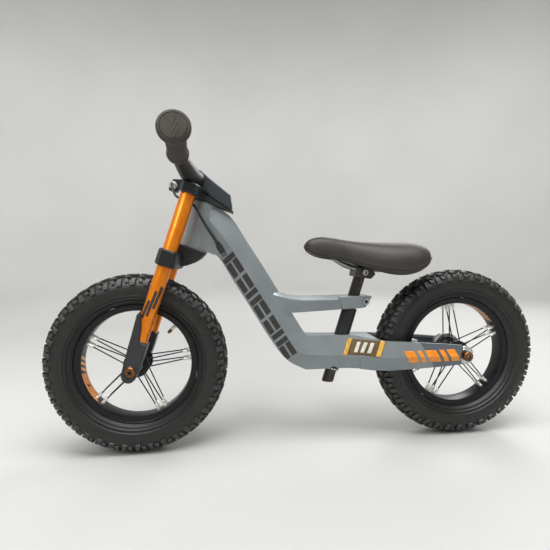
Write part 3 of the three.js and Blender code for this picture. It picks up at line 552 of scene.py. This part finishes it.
def addCables():
    upper = [(-53, 69, 340), (-53, 56, 340), (-51, 42, 337), (-45, 24, 330), (-36, 6, 320), (-27, -10, 312),
             (-17, -22, 309), (-5, -29, 307)]
    lower = [(-201, -30.5, 448), (-190, -29.6, 429), (-178, -28.2, 408), (-168.4, -24.4, 393),
             (-161.9, -21.3, 382.6), (-157.9, -20.3, 375.7), (-153.5, -19.1, 367.9)]
    path = [onFork(*p) for p in upper] + lower
    run = addPiece("brakeCableJacket", tubeParts(path, brakeCable["radius"], 14, 6), cableJacket, None,
                   replaced=["upper_brake_cable", "lower_brake_cable"])
    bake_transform(run)
    rear = [(214, 49, 143.5), (215, 48.8, 136), (220, 47, 129), (230, 42.5, 124.5), (240, 38, 122.6)]
    addPiece("rearBrakeJacket", joinParts(
        tubeParts(rear, brakeCable["radius"], 14, 6),
        tubeParts([(238, 38.8, 122.9), (242, 37.2, 122.4), (246, 36.4, 122.6)], 3.0, 16, 2)),
        cableJacket, "frame", replaced=["rear_brake_cable"])
    slack = [(244, 36.8, 122.5), (252, 36.1, 123.2), (262, 36, 124.3), (270, 36, 125.4)]
    wire = addPiece("rearBrakeWire", tubeParts(slack, brakeCable["wire"], 8, 4), brightSteel, None)
    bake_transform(wire)


addCables()
print("cables laid")

# wheels: lathed carcass with separate tread blocks, rim, spokes in parallel pairs, nipples, valve
wheelParts = {
    "radius": 164, "pitches": 40, "knobHeight": 4.6, "spokeRadius": 1.15, "spokeOffset": 7, "bundles": 5,
    "carcass": [(159.4, 0), (159.2, 5), (158.2, 10), (156.2, 15), (153, 20), (148.6, 24.3), (143, 27),
                (137, 28.2), (131, 27.8), (126.5, 26.4)],
    "sidewall": [(125.6, 27.1), (124.6, 27.1), (123.8, 25.2), (121, 24.4), (120.2, 25.2), (119.2, 25.2),
                 (118.4, 23.0), (115.8, 21.4), (115, 22.2), (114, 22.1), (113, 19.9), (110.6, 18.2),
                 (109.5, 16.6), (109.3, 13.4)],
    "lining": [(111.5, 14.6), (118, 20), (126, 23.4), (136, 25.2), (143, 24.2), (150, 19.6), (154.6, 12),
               (156, 0)],
}


def carcassAt(distance):
    # point and outward direction on the carcass, by distance along its profile from the crown
    rows = wheelParts["carcass"]
    left = distance
    for (r0, y0), (r1, y1) in zip(rows, rows[1:]):
        span = math.hypot(r1 - r0, y1 - y0)
        if left <= span or (r1, y1) == rows[-1]:
            part = left / span
            point = (r0 + (r1 - r0) * part, y0 + (y1 - y0) * part)
            return point, ((y1 - y0) / span, (r0 - r1) / span)
        left -= span


def knobParts(side, centre, width, inner, outer, height, slant=0.0):
    # a tapered block: across the tread by distance along the profile, round the tyre in mm at its edge
    points, rings = [], []
    rows = 4
    loop = [(k / rows, -1) for k in range(rows + 1)] + [(1 - k / rows, 1) for k in range(rows + 1)]
    for rise, inset in ((-0.8, 0.0), (height - 0.7, 0.5), (height, 1.1)):
        ring = []
        for along, turn in loop:
            (radius, y), (outRadius, outY) = carcassAt(inner + inset + (outer - inner - 2 * inset) * along)
            # a shoulder block is lower at its outer end
            lift = rise * (1 - 0.25 * along) if rise > 0 and outer > 24 else rise
            radius, y = radius + outRadius * lift, y + outY * lift
            angle = (centre + turn * (width / 2 - inset) + slant * (along - 0.5)) / wheelParts["radius"]
            ring.append(len(points))
            points.append((radius * math.cos(angle), side * y, radius * math.sin(angle)))
        rings.append(ring)
    top = rings[-1]
    faces = ringFaces(rings, False)
    for k in range(rows):
        faces.append([top[k], top[k + 1], top[-2 - k], top[-1 - k]])
    return points, faces


def treadParts():
    pitch = 2 * math.pi * wheelParts["radius"] / wheelParts["pitches"]
    height = wheelParts["knobHeight"]
    blocks = []
    for k in range(wheelParts["pitches"]):
        at = k * pitch
        for side in (-1, 1):
            shift = 0 if side < 0 else pitch / 2
            blocks.append(knobParts(side, at + shift, 12, 0.8, 8.8, height, 2.0))
            blocks.append(knobParts(side, at + shift + pitch / 2, 10.5, 9.6, 17.6, height, -3.0))
            blocks.append(knobParts(side, at + shift + 0.5, 9.5, 20, 33.5, height - 0.2, 2.2))
            blocks.append(knobParts(side, at + shift + pitch / 2, 8, 19.4, 28, height - 0.6, -2.0))
    return joinParts(*blocks)


def carcassParts():
    half = wheelParts["carcass"] + wheelParts["sidewall"]
    inner = wheelParts["lining"]
    outline = half + inner + [(r, -y) for r, y in inner[::-1][1:]] + [(r, -y) for r, y in half[::-1][:-1]]
    return latheParts(outline, 144, True)


def rimParts():
    half = [(97, 0), (97, 12.2), (97.8, 14.6), (99.6, 15.4), (104, 15.2), (106.2, 15.6), (107.2, 16.6),
            (108.6, 16.4), (108.8, 15.4), (108.6, 14.2), (104, 13.8), (101.2, 13.4), (101.2, 0)]
    outline = half + [(r, -y) for r, y in half[::-1][1:-1]]
    return latheParts(outline, 144, True)


def polar(radius, y, angle, offset=0.0):
    along = math.sqrt(radius * radius - offset * offset)
    return (along * math.cos(angle) - offset * math.sin(angle), y,
            along * math.sin(angle) + offset * math.cos(angle))


def spokeParts(side, firstAngle):
    radius, offset = wheelParts["spokeRadius"], wheelParts["spokeOffset"]
    rods, nipples = [], []
    for k in range(wheelParts["bundles"]):
        angle = firstAngle + 2 * math.pi * k / wheelParts["bundles"]
        for shift in (-offset, offset):
            hubEnd = Vector(polar(19.4, side * 18.5, angle, shift))
            rimEnd = Vector(polar(96.6, side * 5.2, angle, shift))
            ahead = (rimEnd - hubEnd).normalized()
            rods.append(tubeParts([hubEnd, hubEnd + ahead * 30, rimEnd], radius, 10, 2))
            rods.append(tubeParts([hubEnd + Vector((0, side * 2.2, 0)), hubEnd - Vector((0, side * 0.4, 0))],
                                  1.9, 10, 1))
            seat = rimEnd - ahead * 14.5
            nipple = [seat, seat + ahead * 1.2, seat + ahead * 9.6, seat + ahead * 10.2, rimEnd]
            nipples.append(tubeParts(nipple, 2.6, 14, 1, [1.7, 2.5, 2.5, 3.2, 3.2]))
    flange = latheParts([(15.4, side * 17), (22.4, side * 17), (23, side * 17.6), (23, side * 19.4),
                         (22.2, side * 20), (15.4, side * 20)], 48, True)
    return joinParts(flange, *rods), joinParts(*nipples)


def rimFilmParts(shapes, radius=96.84):
    # shapes are (angle from, angle to, y from, y to, lean) in degrees and mm on the rim's inner wall
    patches = []
    for start, end, low, high, lean in shapes:
        steps = max(2, int(abs(end - start) / 2))
        points, rings = [], []
        for depth in (0, -0.12):
            for k in range(steps + 1):
                ring = []
                for y in (low, high):
                    angle = math.radians(start + (end - start) * k / steps + lean * (y - low) / (high - low))
                    ring.append(len(points))
                    points.append(((radius + depth) * math.cos(angle), y, (radius + depth) * math.sin(angle)))
                rings.append(ring)
        count = steps + 1
        faces = []
        for k in range(steps):
            a, b = rings[k], rings[k + 1]
            c, d = rings[count + k], rings[count + k + 1]
            faces += [[a[0], b[0], b[1], a[1]], [c[1], d[1], d[0], c[0]],
                      [a[0], c[0], d[0], b[0]], [a[1], b[1], d[1], c[1]]]
        first, last = rings[0], rings[steps]
        faces += [[first[0], first[1], rings[count][1], rings[count][0]],
                  [last[1], last[0], rings[-1][0], rings[-1][1]]]
        patches.append((points, faces))
    return joinParts(*patches)


def addWheel(prefix, place, valveAngle, filmFrom, filmTo):
    # angles in degrees: the valve, and where the printed band starts and ends on the rim
    body = prefix + "_wheel"
    addPiece(prefix + "TyreCasing", carcassParts(), tyreBlack, body, place,
             [prefix + "_tyre"], sharp=60)
    addPiece(prefix + "TyreTread", treadParts(), treadDustAndHighlight, body, place, sharp=30)
    addPiece(prefix + "AlloyRim", rimParts(), rimBlack, body, place, [prefix + "_rim"])
    first = math.radians(valveAngle) + math.pi / wheelParts["bundles"]
    for sideName, side in (("left", -1), ("right", 1)):
        rods, nipples = spokeParts(side, first)
        title = prefix + sideName.capitalize()
        addPiece(title + "Spokes", rods, rimBlack, body, place,
                 [f"{prefix}_{sideName}_spokes"])
        addPiece(title + "Nipples", nipples, nickel, body, place)
    hub = [(9.2, 13.8), (13, 13.8), (13, 24), (14.4, 24), (15, 23.4), (15, 16.6), (21, 16.6), (22, 16),
           (21.6, 15.4), (16, 10), (13.4, 6.5), (12.8, 0)]
    shell = hub + [(r, -y) for r, y in hub[::-1][1:]]
    addPiece(prefix + "HubShell", latheParts(shell, 48, True), rimBlack, body, place,
             [prefix + "_hub"])
    angle = math.radians(valveAngle)

    def out(r):
        return polar(r, 0, angle)

    stem = tubeParts([out(108), out(98), out(90), out(84)], 2.9, 20, 2, [2.9, 2.9, 2.7, 2.7])
    nut = tubeParts([out(96.6), out(96.2), out(94), out(93.4)], 5, 6, 1, [4.2, 4.8, 4.8, 4.2])
    cap = tubeParts([out(84.4), out(84), out(77), out(76)], 3.3, 20, 1, [3.0, 3.3, 3.1, 2.2])
    addPiece(prefix + "ValveStem", stem, brass, body, place, [prefix + "_valve"])
    sleeve = tubeParts([out(92.6), out(92.2), out(85.2), out(84.8)], 3.4, 20, 1, [3.0, 3.4, 3.4, 3.0])
    addPiece(prefix + "ValveNut", joinParts(nut, sleeve), nickel, body, place)
    addPiece(prefix + "ValveCap", cap, copper, body, place, bevel=0.2)
    length = filmTo - filmFrom
    slashes = [(filmFrom + 6.0 * k, filmFrom + 6.0 * k + 3.4, -11.5, 11.5, 6.0) for k in range(3)]
    band = [(filmFrom + 19, filmTo, -11.5, -6, 2.0), (filmFrom + 21, filmTo - 2, 5.5, 11.5, 2.0),
            (filmFrom + 20, filmFrom + 20 + 0.36 * (length - 19), -4, 3.6, 2.6),
            (filmFrom + 23 + 0.36 * (length - 19), filmTo - 2, -4, 3.6, 2.6)]
    addPiece(prefix + "RimFilm", rimFilmParts(slashes + band), orangeInk, body, place)


addWheel("front", frontAxle, 44, 169, 222)
addWheel("rear", rearAxle, 205, 36.6, 80.5)
drum = [(15.4, 20.4), (29, 20.4), (30, 21.4), (30, 28.8), (29.4, 29.6), (27.5, 29.6), (27.5, 23.4),
        (15.4, 23.4)]
addPiece("rearBrakeDrumShell", latheParts(drum, 64, True), castSilver, "rear_wheel",
         rearAxle, ["rear_brake_drum"])
print("wheels built")


# axle hardware: washers, bolts with hex sockets, each socket floored with a near-black disc of painted shade
def socketBolt(side, face, radius, height, socketRadius, socketDepth):
    ring = [(radius - 0.8, face), (radius, face + 0.5), (radius, face + height - 1.2),
            (radius - 1.2, face + height), (socketRadius + 0.5, face + height)]
    outline = [(0, face)] + ring
    sides = 48
    points, faces = latheParts([(r, side * y) for r, y in outline], sides)
    rim = len(points) - sides
    mouth = len(points)
    floor = mouth + sides
    sixth = math.pi / 3
    for level in (height - 0.3, height - socketDepth):
        for k in range(sides):
            angle = 2 * math.pi * k / sides
            reach = socketRadius * math.cos(sixth / 2) / math.cos((angle % sixth) - sixth / 2)
            points.append((reach * math.cos(angle), side * (face + level), reach * math.sin(angle)))
    for k in range(sides):
        j = (k + 1) % sides
        faces.append([rim + k, rim + j, mouth + j, mouth + k])
        faces.append([mouth + k, mouth + j, floor + j, floor + k])
    faces.append([floor + k for k in range(sides)])
    return points, faces


def washerParts(side, boreRadius, radius, near, far):
    chamfer = 0.5
    outline = [(boreRadius, near), (radius, near), (radius, far - chamfer), (radius - chamfer, far),
               (boreRadius, far)]
    return latheParts([(r, side * y) for r, y in outline], 48, True)


def discParts(side, radius, near, far):
    return latheParts([(0, side * near), (radius, side * near), (radius, side * far), (0, side * far)], 6)


def addAxleEnds():
    for sideName, side in (("left", -1), ("right", 1)):
        addPiece(sideName + "FrontWasher", washerParts(side, 5, 11, 65.3, 66.6), satinBlack, "steering",
                 forkPlace)
        addPiece(sideName + "FrontAxleBolt", socketBolt(side, 65.6, 8.8, 2.9, 3.6, 2.4), copper, "steering",
                 forkPlace, [sideName + "_front_axle_bolt"])
        addPiece(sideName + "RearWasher", washerParts(side, 4.9, 14, 45.5, 47.3), brightSteel, "frame",
                 rearAxle)
        addPiece(sideName + "RearAxleNut", socketBolt(side, 47.4, 9.5, 9, 4.2, 3.0), copper, "frame",
                 rearAxle, [sideName + "_rear_axle_nut"])
        # near-black discs on the socket floors: painted shade of the deep holes
        addPiece(sideName + "FrontSocketShade", discParts(side, 3.4, 66.2, 66.4), socketShadePaint, "steering",
                 forkPlace)
        addPiece(sideName + "RearSocketShade", discParts(side, 3.9, 53.5, 53.7), socketShadePaint, "frame",
                 rearAxle)


addAxleEnds()


# seat clamp bolt through the arm's split end, with a near-black disc of painted shade in its hex socket
def addSeatClampBolt():
    clampEye = Matrix.Translation((0.1185, 0, 0.2695))
    seatBolt = [(2.6, -22.2), (3.4, -24), (6.6, -24), (7, -23.2), (7, -18.9), (4, -18.9), (4, 23), (3.4, 24),
                (0, 24), (0, -22.2)]
    addPiece("seatClampBolt", latheParts(seatBolt, 40), brightSteel, "frame", clampEye,
             ["seat_clamp_bolt"])
    addPiece("seatClampBoltShade", discParts(-1, 2.9, 22.5, 22.3), socketShadePaint, "frame",
             clampEye)


addSeatClampBolt()


# stanchions: anodised tubes between the crowns and the lower legs
def addStanchions():
    for sideName, side in (("left", -1), ("right", 1)):
        tube = latheParts([(0, 42), (12.5, 42), (12.5, 331), (11.8, 332), (0, 332)], 64)
        upright = [(p[0] + bike["legBehind"], p[2] + side * bike["legY"], p[1]) for p in tube[0]]
        addPiece(sideName + "Stanchion", (upright, tube[1]), orangeTube, "steering",
                 forkPlace, [sideName + "_stanchion"])


addStanchions()


# seat post: cut off at a slant at its foot
def addSeatPost():
    postTube = latheParts([(8.8, -27), (11.1, -27), (11.1, 186), (8.8, 186)], 48, True)
    footSlant = 0.25
    postPoints = [(p[0], p[2], p[1] + (footSlant * p[0] if p[1] < 0 else 0)) for p in postTube[0]]
    addPiece("seatPostTube", (postPoints, postTube[1]), blackTube, "saddle", seatPlace,
             ["seat_post"])
    sleeveFoot = latheParts([(11.7, -1.6), (14.0, -1.6), (14.2, -0.9), (14.2, 1.4), (11.7, 1.4)], 48, True)
    footPoints = [(p[0], p[2], p[1]) for p in sleeveFoot[0]]
    addPiece("sleeveFootRing", (footPoints, sleeveFoot[1]), brightSteel, "frame",
             seatPlace)


addSeatPost()

# handlebar: one gull-wing casting, thick at the stem
barRows = [(0, 0, 350, 16, 17), (-2, 25, 349.5, 16, 17), (-7, 45, 349, 15, 17), (-13, 65, 352, 14, 15.5),
           (-20, 85, 357.5, 12.8, 13.4), (-25, 101, 362, 11.4, 11.6), (-26.7, 112, 363.8, 11.1, 11.1)]
gripStart = Vector((-26.7, 112, 363.8))
gripAhead = Vector((2.7, 100, 12.8)).normalized()
gripLength = 99


def ovalSection(row, count):
    # an oval across the bar: centre (behind, right, up), half depth and half height
    t, y, s, halfDepth, halfHeight = row
    turns = [2 * math.pi * k / count for k in range(count)]
    return [(t + halfDepth * math.cos(q), y, s + halfHeight * math.sin(q)) for q in turns]


def barParts():
    end = gripStart + gripAhead * (gripLength - 6)
    half = barRows + [(end.x, end.y, end.z, 11.1, 11.1)]
    rows = [(t, -y, s, a, b) for t, y, s, a, b in half[::-1][:-1]] + half
    return loftParts([ovalSection(row, 40) for row in smoothValues(rows, 5)])


addPiece("gullWingBar", barParts(), satinBlack, "steering", forkPlace, ["handlebar"])


# grips: flange inside, ribbed waist, mushroom end with a generic ring and three slashes
def addGrips():
    outline = [(11.5, 0.2), (16.4, 0.2), (17.4, 1), (17.5, 3.4), (16.6, 5), (15, 6.8), (14.4, 8.6)]
    at = 11.0
    while at < 76:
        swell = 14.3 + 0.9 * (at - 11) / 65
        outline += [(swell, at), (swell + 0.55, at + 0.7), (swell + 0.55, at + 2.3), (swell, at + 3.0)]
        at += 4.6
    outline += [(15.6, 79), (16.6, 84), (19, 88.5), (22, 91), (23.1, 93), (23.2, 97), (22.6, 99.2),
                (21, 100.6), (18.6, 101.2), (18.2, 100.6), (17.6, 100.6), (17.2, 101.3), (8, 101.7),
                (0, 101.8)]
    for sideName, side in (("left", -1), ("right", 1)):
        ahead = Vector((gripAhead.x, gripAhead.y * side, gripAhead.z))
        turn = Vector((0, 1, 0)).rotation_difference(ahead).to_matrix().to_4x4()
        spot = Matrix.Translation(Vector((gripStart.x, gripStart.y * side, gripStart.z)) * mm)
        place = forkPlace @ spot @ turn
        parts = latheParts([(0, 93.4), (11.5, 93.2)] + outline, 72)
        addPiece(sideName + "Grip", parts, gripBlack, "steering", place,
                 [sideName + "_grip"], sharp=50)
        marks = []
        for k, (low, high) in enumerate(((-11, 3), (-8, 9), (-3, 12))):
            x = -7 + 6.4 * k
            slash = [(x, low), (x + 2.6, low + 1.6), (x + 6.2, high), (x + 3.4, high - 1.2)]
            marks.append(prismParts(slash, 101.1, 102.1))
        addPiece(sideName + "GripMark", joinParts(*marks), gripBlack, "steering", place,
                 bevel=0.3)


addGrips()


# brake lever: a flattened blade on a pivot eye, with its cable adjuster and clamp bolt
def addBrakeLever():
    leverRows = [(-52, 99, 340, 5, 4.8), (-60, 112, 341, 5, 5), (-67, 132, 343.5, 4, 6.5),
                 (-70, 156, 347, 4, 7), (-69, 178, 350, 4.2, 7), (-65, 190, 352, 5, 7.5)]
    bladeRows = smoothValues(leverRows, 5)
    bladeEnd = bladeRows[-1]
    bladeRows.append([bladeEnd[0] + 0.6, bladeEnd[1] + 1.4, bladeEnd[2], 3.6, 6.0])
    blade = loftParts([ovalSection(row, 28) for row in bladeRows])
    eyeTube = latheParts([(2.8, 335), (6.6, 335), (7, 335.5), (7, 344.5), (6.6, 345), (2.8, 345)], 36, True)
    eye = ([(p[0] - 50, p[2] + 95, p[1]) for p in eyeTube[0]], eyeTube[1])
    addPiece("brakeLeverBlade", joinParts(blade, eye), castSilver, "lever", forkPlace,
             ["brake_lever"])
    adjuster = [(0, 68.4), (4.4, 68.4), (5.4, 69.4), (6, 70.2)]
    at = 70.6
    while at < 77.4:
        adjuster += [(6.2, at), (5.7, at + 0.5), (6.2, at + 1.0)]
        at += 1.2
    adjuster += [(6, 78), (7.6, 78.3), (7.6, 81.2), (7, 81.6), (0, 81.6)]
    addPiece("cableAdjusterBarrel", latheParts(adjuster, 40), nickel, "steering",
             forkPlace @ Matrix.Translation((-0.053, 0, 0.340)), ["cable_adjuster"])
    addPiece("leverClampBolt", joinParts(
        shifted(latheParts([(0, 84), (3.4, 84), (3.6, 84.4), (3.6, 92.4), (0, 92.4)], 24), -39, 0, 365.4)),
        brightSteel, "steering", forkPlace)


addBrakeLever()
print("controls built")

# saddle: vinyl stretched over foam, a stitched seam round the skirt
saddleRows = [
    (3.8, 5, 379, 373), (9, 13, 385.5, 366), (18, 18, 390.5, 360), (34, 21.5, 393.6, 353.5),
    (56, 24, 391.8, 349.5), (80, 28, 388, 345), (104, 38, 384.8, 337.5), (128, 52, 383.2, 329),
    (152, 65, 382.6, 322.5), (177, 72, 383, 321), (200, 73, 383, 326), (219, 67, 380, 335),
    (232, 54, 374, 342.5), (239, 36, 367, 348.5), (242, 15, 361, 353)]


def saddleHalf(halfWidth, top, low):
    height = top - low
    rows = [(0.0, top), (0.22, top - 0.005 * height), (0.42, top - 0.03 * height), (0.6, top - 0.08 * height),
            (0.74, top - 0.15 * height), (0.87, top - 0.27 * height), (0.95, top - 0.42 * height),
            (0.99, top - 0.56 * height), (1.0, top - 0.7 * height), (0.995, low + 0.18 * height),
            (0.965, low + 0.05 * height), (0.92, low + 0.01 * height), (0.86, low + 0.02 * height),
            (0.81, low + 0.14 * height), (0.78, low + 0.28 * height), (0.4, low + 0.34 * height)]
    return [(y * halfWidth, z) for y, z in rows]


def addSaddleCover():
    rows = smoothValues(saddleRows, 4)
    sections = []
    for x, halfWidth, top, low in rows:
        half = saddleHalf(halfWidth, top, low)
        under = [(0, low + 0.34 * (top - low))]
        loop = half + under + [(-y, z) for y, z in half[::-1][:-1]]
        sections.append([(x, y, z) for y, z in loop])
    cover = addPiece("saddleCover", loftParts(sections), vinyl, "saddle",
                     replaced=["saddle_cover"], sharp=70)
    seam = [(x, halfWidth * 0.985, low + 0.2 * (top - low)) for x, halfWidth, top, low in rows]
    return cover, seam


cover, seamLine = addSaddleCover()
coverSurface = surfaceOf(cover)


def addSeam():
    # piping bead and stitches follow the skirt; points are pressed on to the cover first
    path = seamLine[::-1] + [(x, -y, z) for x, y, z in seamLine]
    pressed = []
    for point in path:
        spot, normal, _, _ = coverSurface.find_nearest(Vector(point) * mm)
        pressed.append((spot + normal * 0.1 * mm) / mm)
    if (pressed[0] - pressed[-1]).length < 1:
        pressed.pop()
    bead = tubeParts(pressed, 0.9, 8, 2)
    addPiece("saddleSeamBead", bead, vinyl, "saddle")
    stitches = []
    line = [Vector(p) for p in smoothValues(pressed, 8)]
    travelled, nextAt = 0.0, 2.0
    for a, b in zip(line, line[1:]):
        span = (b - a).length
        while nextAt < travelled + span:
            centre = a + (b - a) * ((nextAt - travelled) / span)
            ahead = (b - a).normalized() * 1.25
            above = Vector((centre.x, centre.y, centre.z + 3.2)) * mm
            spot, normal, _, _ = coverSurface.find_nearest(above)
            middle = spot / mm + normal * 0.35
            stitches.append(tubeParts([middle - ahead, middle, middle + ahead], 0.42, 6, 1, [0.2, 0.42, 0.2]))
            nextAt += 4.0
        travelled += span
    addPiece("saddleStitches", joinParts(*stitches), thread, "saddle")


addSeam()


# rails under the saddle and the bolt that clamps them to the post
def addRails():
    railLine = [(52, 5.5, 356.5), (66, 6, 348), (84, 13, 338), (100, 15, 332.5), (118, 15, 329.5),
                (140, 15, 328), (162, 20, 331), (184, 24, 338)]
    for sideName, side in (("left", -1), ("right", 1)):
        addPiece(sideName + "SaddleRail", tubeParts([(x, side * y, z) for x, y, z in railLine], 3.2, 16, 5),
                 greySteel, "saddle", replaced=[sideName + "_saddle_rail"])
    clampCentre = seatPlace @ Vector((0, 0, 0.186))
    railBolt = [(2.6, -22), (3.2, -24), (5.6, -24), (6, -23.2), (6, -19.9), (0, -19.9)]
    addPiece("saddleClampBolt", latheParts(railBolt, 36), brightSteel, "saddle",
             Matrix.Translation((clampCentre.x + 0.004, 0, 0.325)), ["saddle_clamp_bolt"])


addRails()
print("saddle covered")


# printed films in place of lettering: plain slanted blocks
def slantedBlock(corner, along, across, length, height, lean):
    c, a, b = Vector(corner), Vector(along), Vector(across)
    return [tuple(c), tuple(c + a * length), tuple(c + a * (length + lean) + b * height),
            tuple(c + a * lean + b * height)]


tubeBand = {"start": (-154, 349), "along": (0.525, -0.851), "across": (0.851, 0.525), "pitch": 46,
            "width": 25}


def tubeBandBlocks():
    # five groups: a full-width bar beside two stacked bars, turned about in every other group
    along, across = Vector(tubeBand["along"]), Vector(tubeBand["across"])
    blocks = []
    for k in range(5):
        corner = Vector(tubeBand["start"]) + along * tubeBand["pitch"] * k + across * 2.2
        barAt, stackAt = (0, 12) if k % 2 == 0 else (31, 0)
        blocks.append(slantedBlock(corner + along * barAt, along, across, 10, tubeBand["width"], -5))
        for lift in (0, 14.5):
            blocks.append(slantedBlock(corner + along * (stackAt - 0.2 * lift) + across * lift, along, across,
                                       28, 10.5, -2.1))
    return blocks


def addFilms():
    surface = surfaceOf(nodes["main_frame"])
    for sideName, side in (("left", -1), ("right", 1)):
        addFilm(sideName + "TubeBlocks", tubeBandBlocks(), surface, side, darkInk, "frame")
        bars = [[(x, 179), (x + length, 178.4), (x + length + 11, 156.4), (x + 11, 156.6)]
                for x, length in ((180, 20), (206, 9), (221, 23), (250, 10), (265, 17))]
        addFilm(sideName + "StayBars", bars, surface, side, orangeInk, "frame")
        badge = [[(84, 199), (149, 197), (137, 168.4), (72, 169)]]
        addFilm(sideName + "BeamBadge", badge, surface, side, shadowInk, "frame")
        gold = [[(x, 198.6), (x + 8, 198.3), (x - 4, 169.2), (x - 12, 169.4)] for x in (84.5, 140.5)]
        addFilm(sideName + "BeamBars", gold, surface, side, goldInk, "frame", liftMm=0.45)
        pale = [[(x, 193), (x + 6, 192.8), (x - 2, 174), (x - 8, 174.2)] for x in (101, 112, 123)]
        addFilm(sideName + "BeamSlashes", pale, surface, side, paleInk, "frame",
                liftMm=0.45)
        marks = []
        for k, (low, high) in enumerate(((94, 124), (99, 142), (114, 152))):
            t = -12 + 6.6 * k
            corners = [(t, low), (t + 4.4, low - 2), (t + 7.4, high), (t + 3, high + 2)]
            marks.append([onFork(a, 0, s)[::2] for a, s in corners])
        leg = surfaceOf(bpy.data.objects[sideName + "Stanchion"])
        addFilm(sideName + "LegSlashes", marks, leg, side, darkInk, "steering", cellMm=1.2,
                liftMm=0.15)


addFilms()
print("films laid")


# floor and light
def addStudio():
    # a round paper sweep: flat under the bike, curving up into a pale wall all round
    bend, flatTo = 1.6, 3.4
    line = [(0, 0)] + [(flatTo + bend * math.sin(math.radians(a)), bend - bend * math.cos(math.radians(a)))
                       for a in range(0, 91, 10)] + [(flatTo + bend, 5)]
    points, faces = latheParts(line, 96)
    mesh = bpy.data.meshes.new("studioFloor")
    mesh.from_pydata([(x, z, y) for x, y, z in points], [], faces)
    mesh.shade_smooth()
    floor = bpy.data.objects.new("studioFloor", mesh)
    bpy.context.scene.collection.objects.link(floor)
    material, tree, shader, place = startMaterial("paleStudioFloor", Roughness=0.6)
    joinSocket(tree, shader, "Base Color", colourSpread(tree, grain(tree, place, 900), "#b6b6b4", "#bcbcba"))
    mesh.materials.append(material)
    world = bpy.data.worlds.new("studioAir")
    world.use_nodes = True
    world.node_tree.nodes["Background"].inputs["Color"].default_value = hexColour("#e2e2e0")
    world.node_tree.nodes["Background"].inputs["Strength"].default_value = 0.38
    bpy.context.scene.world = world
    lamps = {
        "overheadSoftbox": ((-0.1, -0.45, 1.9), (0, 0, 0.2), (1.8, 0.9), 44),
        "frontFill": ((-1.3, -1.7, 2.1), (0, 0, 0.25), (0.9, 0.7), 20),
        "rearRim": ((1.4, 1.6, 1.5), (0, 0, 0.3), (1.2, 0.8), 20),
        "wallWashBehind": ((0, 1.9, 2.6), (0, 4.6, 1.2), (5, 0.8), 105),
        "wallWashFront": ((0, -2.2, 3.2), (0, -4.8, 1.2), (5, 0.8), 45),
        "wallWashLeft": ((-2.2, 0, 3.2), (-4.8, 0, 1.2), (0.8, 5), 65),
        "wallWashRight": ((2.2, 0, 3.2), (4.8, 0, 1.2), (0.8, 5), 65),
    }
    for name, (spot, target, size, power) in lamps.items():
        data = bpy.data.lights.new(name, "AREA")
        data.shape = "RECTANGLE"
        data.size, data.size_y = size
        data.energy = power
        lamp = bpy.data.objects.new(name, data)
        lamp.location = spot
        lamp.rotation_euler = (Vector(target) - Vector(spot)).to_track_quat("-Z", "Y").to_euler()
        bpy.context.scene.collection.objects.link(lamp)


addStudio()
bpy.context.scene.view_settings.view_transform = "Standard"
print("studio lit")
